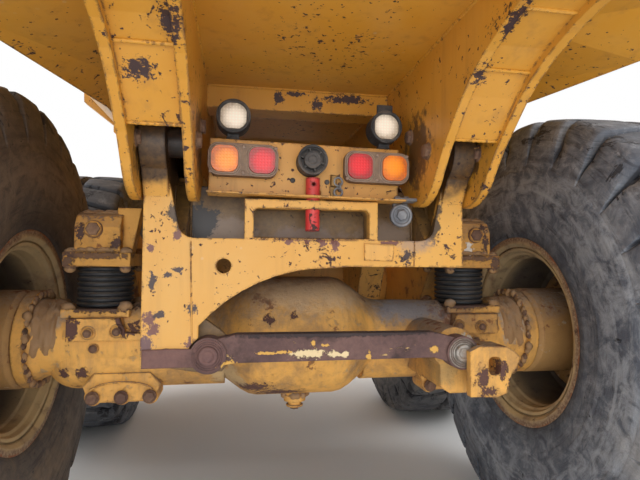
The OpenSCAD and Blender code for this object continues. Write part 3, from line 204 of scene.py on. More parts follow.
class Shade(Nodes):
    """A material's node tree."""

    def __init__(self, name: str) -> None:
        """Makes the material with a Principled shader.

        Args:
            name: the material's name.
        """
        self.material = bpy.data.materials.new(name)
        self.material.use_nodes = True
        super().__init__(self.material.node_tree)
        self.surface = self.first("BSDF_PRINCIPLED")
        self.place = self.node("ShaderNodeTexCoord", {}, {}, "Object")
        self.facing = self.node("ShaderNodeTexCoord", {}, {}, "Normal")

    def noise(self, scale: float, detail: float = 4.0, rough: float = 0.55,
              at: Signal | None = None, warp: float = 0.0) -> Signal:
        """Fractal noise of about 0 to 1, with scale in turns a metre."""
        return self.node("ShaderNodeTexNoise", {}, {
            "Vector": at or self.place, "Scale": scale, "Detail": detail,
            "Roughness": rough, "Distortion": warp})

    def cells(self, scale: float, at: Signal | None = None) -> Signal:
        """Distance to the nearest of scattered points."""
        return self.node("ShaderNodeTexVoronoi", {},
                         {"Vector": at or self.place, "Scale": scale}, "Distance")

    def stretched(self, x: float, y: float, z: float,
                  move: Sequence[float] = (0, 0, 0)) -> Signal:
        """Place, moved and then scaled on each axis."""
        moved = self.node("ShaderNodeVectorMath", {"operation": "SUBTRACT"},
                          {0: self.place, 1: tuple(move)})
        return self.node("ShaderNodeVectorMath", {"operation": "MULTIPLY"},
                         {0: moved, 1: (x, y, z)})

    def part(self, vector: Signal, row: int) -> Signal:
        """One component of a vector."""
        return self.node("ShaderNodeSeparateXYZ", {}, {0: vector}, row)

    def joined(self, x: object, y: object, z: object) -> Signal:
        """A vector of three numbers or signals."""
        return self.node("ShaderNodeCombineXYZ", {}, {0: x, 1: y, 2: z})

    def about_axle(self, centre: Sequence[float]) -> tuple[Signal, Signal, Signal, Signal]:
        """Way along an axle, the two ways across it, and the distance from it."""
        about = self.stretched(1.0, 1.0, 1.0, centre)
        along, across, up = (self.part(about, row) for row in range(3))
        return along, across, up, (across * across + up * up).root()

    def mix(self, first: object, second: object, amount: object) -> Signal:
        """Colour between two colours."""
        return self.node("ShaderNodeMix", {"data_type": "RGBA"},
                         {0: amount, 6: first, 7: second}, 2)

    def coats(self, colour: object, *layers: tuple[object, object]) -> Signal:
        """Colour under several coats, each a pair of its colour and its amount."""
        for layer, amount in layers:
            colour = self.mix(colour, layer, amount)
        return colour

    def edge(self, width: float) -> Signal:
        """Wear along edges: 0 on flat faces, towards 1 within about width of an edge."""
        flat = self.node("ShaderNodeNewGeometry", {}, {}, "Normal")
        agree = self.node("ShaderNodeVectorMath", {"operation": "DOT_PRODUCT"},
                          {0: self.softened(width), 1: flat}, "Value")
        return (1.0 - agree).step(0.01, 0.22)

    def set(self, **values: object) -> bpy.types.Material:
        """Sets the shader's own sockets, with underscores for spaces.

        Returns:
            The finished material.
        """
        for key, value in values.items():
            self.feed(self.surface.inputs[key.replace("_", " ")], value)
        return self.material

    def relief(self, height: Signal, depth: float, base: Signal | None = None) -> Signal:
        """Bump of the given depth in metres, on a rounded or plain normal."""
        inputs = {"Height": height, "Distance": depth, "Strength": 1.0}
        if base is not None:
            inputs["Normal"] = base
        return self.node("ShaderNodeBump", {}, inputs)

    def softened(self, width: float) -> Signal:
        """Normal rounded at edges over the given width."""
        return self.node("ShaderNodeBevel", {"samples": 4}, {"Radius": width})


# Finishes

@dataclass(frozen=True)
class Spot:
    """A ragged patch at a place: worn-off paint, grease, dust or painted shade."""

    place: Place
    size: Place
    colour: Colour
    amount: float = 1.0
    soft: float = 0.10
    ragged: float = 5.0

    def laid(self, shade: Shade, colour: Signal, broad: Signal,
             fine: Signal) -> tuple[Signal, Signal]:
        """Lays the patch over a colour: r is the distance in sizes, and noise frays its rim.

        Args:
            shade: the material's tree.
            colour: the colour so far.
            broad: noise of about 0 to 1 for wide patches.
            fine: the same for small ones.

        Returns:
            The new colour and the patch's mask.
        """
        about = shade.stretched(*(1.0 / v for v in self.size), self.place)
        length = shade.node("ShaderNodeVectorMath", {"operation": "LENGTH"},
                            {0: about}, "Value")
        noise = fine if self.size[2] < 0.034 else broad
        mask = (1.0 - length + (noise - 0.5) * self.ragged).step(0.0, self.soft) * self.amount
        return shade.mix(colour, self.colour, mask), mask


def lay_spots(shade: Shade, colour: Signal, spots: Sequence[Spot]) -> tuple[Signal, object]:
    """Lays several patches over a colour.

    Args:
        shade: the material's tree.
        colour: the colour so far.
        spots: the patches, in the order in which they are laid.

    Returns:
        The new colour and the mask of them all.
    """
    broad, fine = shade.noise(24.0, 7.0, 0.7), shade.noise(80.0, 6.0, 0.75)
    whole: object = 0.0
    for spot in spots:
        colour, mask = spot.laid(shade, colour, broad, fine)
        whole = mask.most(whole)
    return colour, whole


@dataclass(frozen=True)
class WornPaint:
    """Sprayed yellow paint with faded fields, chips down to rust, dust and splashes; where asked,
    painted shade deep inside and dark tops of grease with painted shade.
    """

    name: str
    colour: Colour
    faded: Colour
    chips: float = 0.5
    mud: float = 0.3
    streaks: float = 0.3
    soft_edge: float = 0.006
    rust: Colour = paint(96, 64, 54)
    bare: Colour = paint(66, 46, 44)
    dirt: Colour = paint(150, 132, 112)
    gloss: float = 0.42
    spots: tuple[Spot, ...] = ()
    # y from which the frame's inside gets painted shade
    painted_shade_deep: float | None = None
    # height above which tops darken: grease with painted shade
    grease_and_shade_high: float | None = None
    # near-black colour of that painted shade
    near_black: Colour = paint(38, 31, 30)

    def make(self) -> bpy.types.Material:
        """Builds the material."""
        s = Shade(self.name)
        tone = s.noise(1.7, 5.0, 0.6)
        cloud = s.noise(7.0, 5.0, 0.65)
        grain = s.noise(55.0, 4.0, 0.7)
        run = s.noise(1.0, 5.0, 0.6, s.stretched(24.0, 24.0, 1.6))
        runs = (run + cloud * 0.35).step(0.68, 0.95) * self.streaks
        grime = (cloud * 0.6 + tone * 0.6).step(0.55, 0.95) * 0.45
        # chips: broad noise with ragged edges, more of it along edges
        where = (s.noise(2.7, 3.0, 0.5) * 0.34 + s.edge(0.012) * 0.14 * (0.35 + self.chips)
                 - 0.09 * (1.0 - self.chips))
        level = (s.noise(21.0, 9.0, 0.74, warp=0.6) + where).most(
            s.noise(64.0, 4.0, 0.6) + where * 0.8 + 0.02)
        core = level.step(0.788, 0.800)
        # dust on what faces up and in broad fields
        up = s.part(s.facing, 2)
        dust = (up * 0.35 + cloud * 0.75 + grain * 0.22).step(0.62, 0.98) * self.mud
        specks = s.cells(26.0).step(0.16, 0.10) * s.noise(2.3, 2.0).step(0.56, 0.68)
        colour = s.coats(
            self.colour,
            (self.faded, (tone * 0.75 + cloud * 0.5 - 0.32).step(0.1, 0.55)),
            (self.rust, runs),
            (paint(122, 84, 42), grime * self.streaks * 1.6),
            (self.rust, level.step(0.775, 0.790)),
            (self.bare, core * (grain * 0.8 + 0.45).least(1.0)),
            (self.dirt, dust),
            (paint(205, 192, 172), specks * self.mud * 0.8))
        # painted shade deep inside the frame: darker from a y on, for about half a metre
        if self.painted_shade_deep is not None:
            start = self.painted_shade_deep
            ahead = s.part(s.place, 1) + cloud * 0.05 - 0.02
            deep = ahead.step(start, start + 0.03) * ahead.step(start + 0.75, start + 0.25)
            colour = s.mix(colour, self.near_black, deep * (0.55 + grain * 0.4).least(0.9))
        # darker above a height: grease on the towers' tops, with painted shade under the body
        if self.grease_and_shade_high is not None:
            height = s.part(s.place, 2) + (cloud - 0.5) * 0.20 + (tone - 0.5) * 0.1
            high = height.step(self.grease_and_shade_high, self.grease_and_shade_high + 0.06)
            colour = s.mix(colour, paint(48, 34, 28), high * (0.72 + grain * 0.4).least(0.96))
        colour, _ = lay_spots(s, colour, self.spots)
        rough = self.gloss + dust * 0.4 + core * 0.35 + runs * 0.2 + grain * 0.08
        relief = grain * 0.10 - core * 0.5 + dust * grain * 0.6
        return s.set(Base_Color=colour, Roughness=rough.least(0.95),
                     Normal=s.relief(relief, 0.0022, s.softened(self.soft_edge)))


@dataclass(frozen=True)
class CakedPaint:
    """Cast housing under the machine: paint left in patches under dry mud and rust."""

    name: str
    colour: Colour
    mud: float = 0.6
    rust: float = 0.5
    clay: Colour = paint(138, 112, 84)
    pale: Colour = paint(186, 164, 132)
    dark: Colour = paint(78, 56, 44)
    grey: Colour = paint(146, 138, 130)
    settled: float = 0.6
    streaks: float = 0.0
    spots: tuple[Spot, ...] = ()

    def make(self) -> bpy.types.Material:
        """Builds the material."""
        s = Shade(self.name)
        tone = s.noise(2.6, 6.0, 0.62)
        cloud = s.noise(11.0, 6.0, 0.68, warp=0.5)
        grain = s.noise(90.0, 5.0, 0.75)
        cake = (tone * 0.55 + cloud * 0.6 + grain * 0.12).step(0.74 - 0.22 * self.mud, 0.84)
        up = s.part(s.facing, 2)
        settled = (up * 0.42 + tone * 0.5 + cloud * 0.45).step(0.50, 0.92) * self.settled
        splash = (s.noise(19.0, 7.0, 0.75) + s.noise(4.0, 3.0) * 0.4).step(0.80, 0.90)
        decay = (s.noise(14.0, 8.0, 0.7) + tone * 0.3 + s.edge(0.012) * 0.12).step(
            0.80 - 0.1 * self.rust, 0.86)
        run = s.noise(1.0, 6.0, 0.65, s.stretched(30.0, 30.0, 2.2)).step(0.44, 0.70)
        crumbs = s.noise(48.0, 7.0, 0.75).step(0.58, 0.66) * tone.step(0.42, 0.60)
        colour = s.coats(
            self.colour,
            (paint(178, 128, 62), (tone * 0.8 + cloud * 0.3).step(0.35, 0.85)),
            (self.clay, cake * (0.35 + 0.5 * self.mud)),
            (s.mix(self.clay, self.grey, grain.step(0.35, 0.6)), settled),
            (self.pale, splash * self.mud),
            (self.dark, decay * (grain * 0.5 + 0.55)),
            (paint(120, 66, 40), (decay * (1.0 - decay) * 4.0).least(1.0) * 0.7),
            (paint(128, 106, 86), run * self.streaks),
            (self.pale, crumbs * 0.35 * self.mud))
        colour, laid = lay_spots(s, colour, self.spots)
        rough = 0.62 + cake * 0.25 + grain * 0.1
        height = grain * 0.30 + cake * 0.30 + splash * grain * 0.8 - decay * 0.25 + crumbs * 0.4
        height = height + laid * grain * 0.9
        return s.set(Base_Color=colour, Roughness=rough.least(0.96),
                     Normal=s.relief(height, 0.004, s.softened(0.008)))


@dataclass(frozen=True)
class RustyIron:
    """Forging with flaking brown rust and remains of paint."""

    name: str
    colour: Colour = paint(84, 63, 62)
    light: Colour = paint(120, 92, 86)
    remains: Colour = paint(212, 176, 118)
    left: float = 0.4
    spots: tuple[Spot, ...] = ()

    def make(self) -> bpy.types.Material:
        """Builds the material."""
        s = Shade(self.name)
        tone = s.noise(5.0, 6.0, 0.65)
        pits = s.noise(70.0, 6.0, 0.75)
        flake = s.noise(16.0, 8.0, 0.7, s.stretched(0.55, 1.0, 1.4), warp=0.3)
        keep = (flake + tone * 0.25).step(0.80 - 0.12 * self.left, 0.82 - 0.12 * self.left)
        colour = s.coats(
            self.colour,
            (self.light, (tone * 0.7 + pits * 0.5).step(0.45, 0.85)),
            (paint(48, 36, 36), s.noise(9.0, 5.0, 0.6).step(0.56, 0.72) * 0.8),
            (self.remains, keep * 0.9))
        colour, mask = lay_spots(s, colour, self.spots)
        height = pits * 0.7 + flake * 0.6 + keep.most(mask) * 0.35
        return s.set(Base_Color=colour, Roughness=0.72 + pits * 0.2,
                     Normal=s.relief(height, 0.004, s.softened(0.006)))


@dataclass(frozen=True)
class TyreRubber:
    """Tyre with streaks that run out from the wheel's axle, scuffs, dried dirt and painted shade in
    the grooves.
    """

    name: str
    centre: Place
    colour: Colour
    scuff: Colour
    dirt: Colour
    dirty: float = 0.5
    half: float = 0.2975
    dark: Colour = paint(34, 34, 40)

    def make(self) -> bpy.types.Material:
        """Builds the material: angle and radius about the axle drive the streaks.

        The floors of the grooves get painted shade. They lie below a cylinder on the crown, and on
        the shoulder below a cone whose radius falls twice as fast as the way out.
        """
        s = Shade(self.name)
        along, y, z, radius = s.about_axle(self.centre)
        # two noises: one drawn out along the radius, one round the axle
        ray = s.joined(y / radius * 1.7, z / radius * 1.7, radius * 4.5)
        streak = s.noise(4.0, 8.0, 0.72, ray, warp=0.9)
        round_it = s.joined(y / radius * 0.8, z / radius * 0.8, radius * 17.0)
        band = s.noise(4.0, 6.0, 0.7, round_it, warp=0.3)
        tone = s.noise(2.2, 5.0, 0.6)
        cloud = s.noise(9.0, 7.0, 0.7, warp=0.5)
        grain = s.noise(130.0, 4.0, 0.7)
        # sidewall: a field rubbed pale and the top of a moulded ring in it
        rubbed = radius.band(0.44, 0.54, 0.60, 0.68)
        ring = radius.band(0.541, 0.545, 0.551, 0.555)
        # tread: 1 on the lugs' outer faces, 0 in the grooves
        cone = radius + (along.most(along * -1.0) - self.half) * 2.0 + cloud * 0.012
        lug = radius.step(0.776, 0.790).most(cone.step(0.634, 0.652))
        dust = (tone * 0.6 + cloud * 0.5 + grain * 0.1).step(0.60, 0.86)
        torn = s.noise(8.0, 9.0, 0.72, warp=1.0) + radius.step(0.60, 0.76) * 0.12
        cuts = s.noise(30.0, 8.0, 0.75, warp=0.8).step(0.68, 0.73).most(torn.step(0.66, 0.68))
        colour = s.coats(
            self.colour,
            (self.scuff, (streak * 0.6 + tone * 0.25 + cloud * 0.3).step(0.46, 0.80)),
            (self.dark, (band + tone * 0.25).step(0.62, 0.80) * 0.6),
            (self.scuff, (band * 0.4 + cloud * 0.8 + grain * 0.1).step(0.70, 0.84) * 0.85),
            (self.scuff, rubbed * (streak + cloud * 0.4).step(0.56, 0.84) * 0.55),
            (self.scuff, ring * cloud.step(0.36, 0.60) * 0.6),
            (self.dark, radius.step(0.45, 0.37) * 0.45),
            # painted shade on the floors of the grooves
            (self.dark, (1.0 - lug) * radius.step(0.640, 0.672) * 0.7),
            (self.dirt, dust * self.dirty),
            (self.dark, cuts * 0.85))
        height = (grain * 0.35 + streak * 0.2 - cuts * 0.7 + s.noise(28.0, 5.0, 0.7) * 0.4
                  + band * 0.3)
        return s.set(Base_Color=colour, Roughness=0.66 + grain * 0.16 + dust * 0.12,
                     Normal=s.relief(height, 0.0035))


@dataclass(frozen=True)
class RimPaint:
    """Rim in old paint: beige to yellow barrel, rusted worn flange, brown stains, painted shade
    deep in the barrel.
    """

    name: str
    centre: Place

    def make(self) -> bpy.types.Material:
        """Builds the material: rust grows with the distance from the axle."""
        s = Shade(self.name)
        along, _, _, radius = s.about_axle(self.centre)
        tone = s.noise(4.0, 6.0, 0.62)
        cloud = s.noise(16.0, 6.0, 0.7, warp=0.4)
        pits = s.noise(95.0, 5.0, 0.75)
        stain = (cloud * 0.7 + tone * 0.5).step(0.58, 0.80)
        metal = s.mix(paint(118, 88, 68), paint(172, 150, 124), pits.step(0.42, 0.66))
        rust = (s.noise(22.0, 8.0, 0.7) + tone * 0.25).step(0.74, 0.80)
        lip = (radius + cloud * 0.02 - 0.010).step(0.352, 0.358)
        colour = s.coats(
            paint(204, 176, 128),
            (paint(172, 150, 118), tone.step(0.35, 0.7)),
            (paint(128, 100, 74), stain * 0.7),
            (metal, (radius + cloud * 0.035 - 0.018).step(0.330, 0.348) * 0.9),
            (paint(72, 44, 34), rust * 0.85),
            # painted shade in the middle of the barrel, between its lips
            (paint(58, 54, 58), (along * along).step(0.045, 0.012) * 0.8),
            (paint(150, 84, 44), lip * cloud.step(0.42, 0.62) * 0.8))
        height = pits * 0.6 + stain * 0.3 - rust * 0.3
        return s.set(Base_Color=colour, Roughness=0.58 + pits * 0.25,
                     Normal=s.relief(height, 0.003, s.softened(0.006)))


@dataclass(frozen=True)
class Plain:
    """Moulded or greased surface with its own tone, dust and fine grain."""

    name: str
    colour: Colour
    second: Colour
    rough: float = 0.6
    dust: float = 0.3
    metal: float = 0.0
    bumps: float = 0.0012

    def make(self) -> bpy.types.Material:
        """Builds the material."""
        s = Shade(self.name)
        tone = s.noise(12.0, 6.0, 0.65, warp=0.3)
        grain = s.noise(160.0, 4.0, 0.7)
        up = s.part(s.facing, 2)
        dust = (up * 0.4 + tone * 0.6 + grain * 0.3).step(0.52, 0.95) * self.dust
        colour = s.coats(self.colour,
                         (self.second, (tone + grain * 0.2).step(0.48, 0.78)),
                         (paint(150, 136, 118), dust))
        rough = (self.rough + dust * 0.3 + grain * 0.08).least(0.96)
        return s.set(Base_Color=colour, Roughness=rough, Metallic=self.metal,
                     Normal=s.relief(grain * 0.6 + tone * 0.4, self.bumps, s.softened(0.003)))


@dataclass(frozen=True)
class LampLens:
    """Moulded lens that glows a little, with its grid of prisms and dust at the rim."""

    name: str
    deep: Colour
    bright: Colour
    centres: tuple[tuple[float, float], ...]
    half: float
    glow: float = 0.22
    pitch: float = 0.0085

    def make(self) -> bpy.types.Material:
        """Builds the material: brighter towards each lens's own centre."""
        s = Shade(self.name)
        x, z = s.part(s.place, 0), s.part(s.place, 2)
        spots = []
        for cx, cz in self.centres:
            dx, dz = (x - cx) / self.half, (z - cz) / self.half
            spots.append((dx * dx + dz * dz).step(1.1, 0.0))
        spot = spots[0].most(spots[1])
        prism = (x * (TAU / self.pitch)).wave() * (z * (TAU / self.pitch)).wave()
        dirt = s.noise(60.0, 5.0, 0.7)
        colour = s.coats(
            self.deep,
            (self.bright, (spot * 0.8 + prism * 0.2).least(1.0)),
            (paint(110, 74, 50), (dirt + (1.0 - spot) * 0.25).step(0.62, 0.86) * 0.4))
        return s.set(Base_Color=colour, Roughness=0.26 + dirt * 0.2, Coat_Weight=0.25,
                     Emission_Color=colour, Emission_Strength=self.glow,
                     Normal=s.relief(prism, 0.0003))


# Surfaces as whole arrays

def place_points(local: Array, origin: Sequence[float], axis: Axis, flip: bool = False) -> Array:
    """Turns points of (along, across, up) so that along lies on an axis.

    The first coordinate becomes the axis, the next two the axes that follow it round.

    Args:
        local: points, the last dimension being 3.
        origin: where the local origin goes.
        axis: the axis that the first coordinate follows.
        flip: True to run the first coordinate the other way.

    Returns:
        Points in the frame.
    """
    out = np.empty_like(local)
    sign = -1.0 if flip else 1.0
    first, second, third = axis.value
    out[..., first] = local[..., 0] * sign
    out[..., second] = local[..., 1]
    out[..., third] = local[..., 2]
    return out + np.asarray(origin, float)


def revolve(profile: Array, steps: int, turn: float = 0.0) -> Array:
    """Profile of (along, radius) carried round the first axis: point = (a, r cos t, r sin t)."""
    profile = np.asarray(profile, float)
    angle = np.linspace(0, TAU, steps, endpoint=False) + turn
    along = np.repeat(profile[:, :1], steps, axis=1)
    return np.stack([along, np.outer(profile[:, 1], np.cos(angle)),
                     np.outer(profile[:, 1], np.sin(angle))], axis=-1)


def smooth_line(points: Sequence[Sequence[float]], count: int) -> Array:
    """Catmull-Rom curve through the points, resampled to even steps of its length."""
    p = np.asarray(points, float)
    ends = np.vstack([2 * p[0] - p[1], p, 2 * p[-1] - p[-2]])
    t = np.linspace(0, len(p) - 1 - 1e-9, 12 * len(p))
    i = t.astype(int)
    u = (t - i)[:, None]
    a, b, c, d = (ends[i + k] for k in range(4))
    line = 0.5 * (2 * b + (c - a) * u + (2 * a - 5 * b + 4 * c - d) * u ** 2
                  + (3 * b - a - 3 * c + d) * u ** 3)
    run = np.concatenate([[0], np.cumsum(np.linalg.norm(np.diff(line, axis=0), axis=1))])
    even = np.linspace(0, run[-1], count)
    return np.stack([np.interp(even, run, line[:, k]) for k in range(line.shape[1])], axis=1)


def tube(path: Array, radius: object, sides: int = 8) -> Array:
    """Circle of a radius swept along a path: each ring lies square to the path's direction."""
    path = np.asarray(path, float)
    ahead = np.gradient(path, axis=0)
    ahead /= np.linalg.norm(ahead, axis=1, keepdims=True)
    spread = np.abs(ahead).mean(axis=0)
    guide = np.eye(3)[int(np.argmin(spread))]
    across = np.cross(ahead, guide)
    across /= np.linalg.norm(across, axis=1, keepdims=True)
    up = np.cross(across, ahead)
    angle = np.linspace(0, TAU, sides, endpoint=False)
    size = np.broadcast_to(np.asarray(radius, float).reshape(-1, 1), (len(path), 1))[:, :, None]
    ring = (across[:, None, :] * np.cos(angle)[None, :, None]
            + up[:, None, :] * np.sin(angle)[None, :, None])
    return path[:, None, :] + ring * size


@dataclass
class Shell:
    """Surfaces gathered into one mesh."""

    points: list[Array] = field(default_factory=list)
    faces: list[Array] = field(default_factory=list)
    count: int = 0

    def add(self, points: Array, faces: Array) -> "Shell":
        """Adds points and the faces that join them, each row of faces one polygon."""
        self.points.append(points.reshape(-1, 3))
        self.faces.append(faces + self.count)
        self.count += len(self.points[-1])
        return self

    def grid(self, surface: Array, ring: bool = True, capped: bool = True,
             ends_meet: bool = False) -> "Shell":
        """Adds a surface of rows and columns of points.

        Args:
            surface: points, shaped rows by columns by 3.
            ring: True if each row closes on itself.
            capped: True to close the first and last row with a polygon.
            ends_meet: True if the last row joins the first.

        Returns:
            The shell itself.
        """
        rows, columns = surface.shape[:2]
        i = np.arange(rows if ends_meet else rows - 1)[:, None]
        j = np.arange(columns if ring else columns - 1)[None, :]
        across = (j + 1) % columns
        below = (i + 1) % rows
        quads = np.stack(np.broadcast_arrays(
            i * columns + j, i * columns + across, below * columns + across,
            below * columns + j), axis=-1)
        start = self.count
        self.add(surface, quads.reshape(-1, 4))
        if capped and ring and not ends_meet:
            first = np.arange(columns)[None, ::-1] + start
            last = np.arange(columns)[None, :] + start + (rows - 1) * columns
            self.faces += [first, last]
        return self

    def object(self, name: str, body: str, finish: bpy.types.Material, sharp: float = 35.0,
               slot: str | None = None) -> bpy.types.Object:
        """Makes the object, with faces that point outwards, on a body.

        Args:
            name: the piece's name.
            body: the body it rides on.
            finish: its material.
            sharp: angle in degrees past which an edge stays crisp.
            slot: the record's material slot; not used.

        Returns:
            The object.
        """
        mesh = bpy.data.meshes.new(name)
        points = np.concatenate(self.points)
        sizes = np.concatenate([np.full(len(f), f.shape[1]) for f in self.faces])
        corners = np.concatenate([f.reshape(-1) for f in self.faces])
        mesh.vertices.add(len(points))
        mesh.vertices.foreach_set("co", points.astype(np.float32).reshape(-1))
        mesh.loops.add(len(corners))
        mesh.loops.foreach_set("vertex_index", corners.astype(np.int32))
        mesh.polygons.add(len(sizes))
        starts = np.concatenate([[0], np.cumsum(sizes)[:-1]])
        mesh.polygons.foreach_set("loop_start", starts.astype(np.int32))
        mesh.update(calc_edges=True)
        mesh.validate()
        work = bmesh.new()
        work.from_mesh(mesh)
        bmesh.ops.recalc_face_normals(work, faces=work.faces)
        work.to_mesh(mesh)
        work.free()
        mesh.polygons.foreach_set("use_smooth", np.ones(len(mesh.polygons), bool))
        mesh.set_sharp_from_angle(angle=math.radians(sharp))
        mesh.materials.append(finish)
        piece = bpy.data.objects.new(name, mesh)
        bpy.context.scene.collection.objects.link(piece)
        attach(piece, body)
        LOG.info("%s: %d faces on %s", name, len(mesh.polygons), body)
        return piece


def bolt(shell: Shell, place: Sequence[float], axis: Axis, across: float, flip: bool = False,
         turn: float = 0.0, washer: float = 1.25) -> None:
    """Adds a hexagon head on a washer: two short profiles turned round the axis.

    Args:
        shell: the shell that gets it.
        place: centre of the seat.
        axis: direction of the bolt.
        across: width over the head's corners.
        flip: True if the head looks the other way along the axis.
        turn: turn of the hexagon in radians.
        washer: the washer's radius as a share of the head's.
    """
    r = across / 2
    h = across * 0.34
    plate = np.array([[-0.002, 0.001], [-0.002, r * washer], [0.10 * h + 0.002, r * washer],
                      [0.10 * h + 0.003, r * 0.7]])
    head = np.array([[0.0, r], [h * 0.82, r], [h, r * 0.86], [h * 1.02, r * 0.25]])
    shell.grid(place_points(revolve(plate, 14), place, axis, flip))
    shell.grid(place_points(revolve(head, 6, turn), place, axis, flip))


def bead(shell: Shell, route: Sequence[Sequence[float]], radius: float, seed: int = 1) -> None:
    """Adds a weld bead: a tube along the route whose radius ripples with each pass.

    The radius is r (1 + 0.16 sin(2 pi s / 3 r) + noise), with s the way along the route.

    Args:
        shell: the shell that gets it.
        route: corner points of the seam.
        radius: the bead's radius.
        seed: number that sets the ripple's noise.
    """
    corners = np.asarray(route, float)
    run = np.concatenate([[0], np.cumsum(np.linalg.norm(np.diff(corners, axis=0), axis=1))])
    count = max(6, int(run[-1] / (radius * 0.9)))
    even = np.linspace(0, run[-1], count)
    line = np.stack([np.interp(even, run, corners[:, k]) for k in range(3)], axis=1)
    rng = np.random.default_rng(seed)
    swell = 1 + 0.16 * np.sin(TAU * even / (radius * 3.0)) + rng.normal(0, 0.05, count)
    shell.grid(tube(line, radius * swell, 6))


def value_noise(x: Array, y: Array, seed: int, octaves: int = 4) -> Array:
    """Smooth noise of about -1 to 1: grids of random heights, each twice as fine and half as high.

    Between grid points the height follows the soft step t t (3 - 2 t).

    Args:
        x: first coordinate, in steps of the coarsest grid.
        y: second coordinate.
        seed: number that sets the heights.
        octaves: how many grids are summed.

    Returns:
        Noise in the coordinates' joint shape.
    """
    table = np.random.default_rng(abs(seed)).uniform(-1, 1, (64, 64))
    x, y = np.broadcast_arrays(np.asarray(x, float), np.asarray(y, float))
    total = np.zeros(x.shape)
    for k in range(octaves):
        u, v = x * 2 ** k + 7.3 * k, y * 2 ** k + 3.1 * k
        i, j = np.floor(u).astype(int), np.floor(v).astype(int)
        a, b = u - i, v - j
        a, b = a * a * (3 - 2 * a), b * b * (3 - 2 * b)
        low = table[i % 64, j % 64] * (1 - a) + table[(i + 1) % 64, j % 64] * a
        high = table[i % 64, (j + 1) % 64] * (1 - a) + table[(i + 1) % 64, (j + 1) % 64] * a
        total += (low * (1 - b) + high * b) / 2 ** k
    return total / 1.9


def round_about(count: int, radius: float, start: float = 0.0) -> Iterator[Place]:
    """Even places on a circle: the angle, radius times its cosine, radius times its sine."""
    for k in range(count):
        angle = TAU * (k + start) / count
        yield angle, radius * math.cos(angle), radius * math.sin(angle)


def hoop(shell: Shell, place: Sequence[float], axis: Axis, radius: float,
         thick: float) -> None:
    """Adds a round ring: a circle of radius thick, turned about an axis at a radius."""
    small = np.linspace(0, TAU, 8, endpoint=False)
    profile = np.stack([thick * np.cos(small), radius + thick * np.sin(small)], 1)
    shell.grid(place_points(revolve(profile, 36), place, axis), ends_meet=True)


def lump(shell: Shell, place: Sequence[float], size: Sequence[float], seed: int) -> None:
    """Adds a crumb of mud: a ball whose radius is 1 + 0.4 noise over its surface.

    Args:
        shell: the shell that gets it.
        place: its centre.
        size: half its size on each axis.
        seed: number that sets the noise.
    """
    polar = np.linspace(0.08, math.pi - 0.08, 8)[:, None]
    about = np.linspace(0, TAU, 12, endpoint=False)[None, :]
    ball = np.stack([np.cos(polar) + 0 * about, np.sin(polar) * np.cos(about),
                     np.sin(polar) * np.sin(about)], -1)
    x, y, z = np.moveaxis(ball, -1, 0)
    rough = 1 + 0.4 * value_noise(y * 1.8 + 5, z * 1.8 + x * 1.3 + 9, seed, 3)
    shell.grid(ball * rough[..., None] * np.asarray(size) + np.asarray(place, float))


def crust(shell: Shell, base: Array, out: Array, depth: float, seed: int,
          cover: float) -> None:
    """Adds a crust of dried mud on a surface.

    The top is base + out h, with h = depth (0.5 + 1.2 noise + cover - border), held between
    -0.3 and 1 depths, so that it sinks below the surface in its gaps and round its border.

    Args:
        shell: the shell that gets it.
        base: points of the surface in rows and columns.
        out: the directions in which it stands out.
        depth: the greatest thickness.
        seed: number that sets the noise.
        cover: more of it for a higher number.
    """
    rows, columns = base.shape[:2]
    v = np.linspace(0, 1, rows)[:, None]
    u = np.linspace(0, 1, columns)[None, :]
    inward = np.minimum(np.minimum(v, 1 - v), np.minimum(u, 1 - u))
    border = 1.3 * (1 - np.clip(6 * inward, 0, 1))
    noise = value_noise(v * rows / 5, u * columns / 5, seed, 4)
    height = depth * np.clip(0.5 + 1.2 * noise + cover - border, -0.3, 1)[..., None]
    under = base - out * (0.3 * depth + 0.002)
    shell.grid(np.concatenate([base + out * height, under[:, ::-1]], axis=1))


@dataclass(frozen=True)
class Layout:
    """Places of the unit's main parts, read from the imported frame."""

    rear: Vector
    middle: Vector
    half_track: float
    tyre_radius: float
    tyre_half: float

    @classmethod
    def read(cls, joints: Sequence[dict]) -> "Layout":
        """Reads the axles' places from the wheels' joints and the tyre's size from its box."""
        spot = {j["name"]: j["pos_m"] for j in joints if j["name"].startswith("roll_")}
        rear, middle = spot["roll_rear_right"], spot["roll_middle_right"]
        low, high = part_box("tyre_rear_right")
        return cls(Vector((0, *rear[1:])), Vector((0, *middle[1:])), rear[0],
                   (high.z - low.z) / 2, (high.x - low.x) / 2)

    def at(self, x: float, y: float, z: float) -> Place:
        """Moves a place written about the rear axle's centre into the frame."""
        return (self.rear.x + x, self.rear.y + y, self.rear.z + z)

    def route(self, points: Iterable[Sequence[float]]) -> list[Place]:
        """Moves several places into the frame."""
        return [self.at(*p) for p in points]


# Wheels

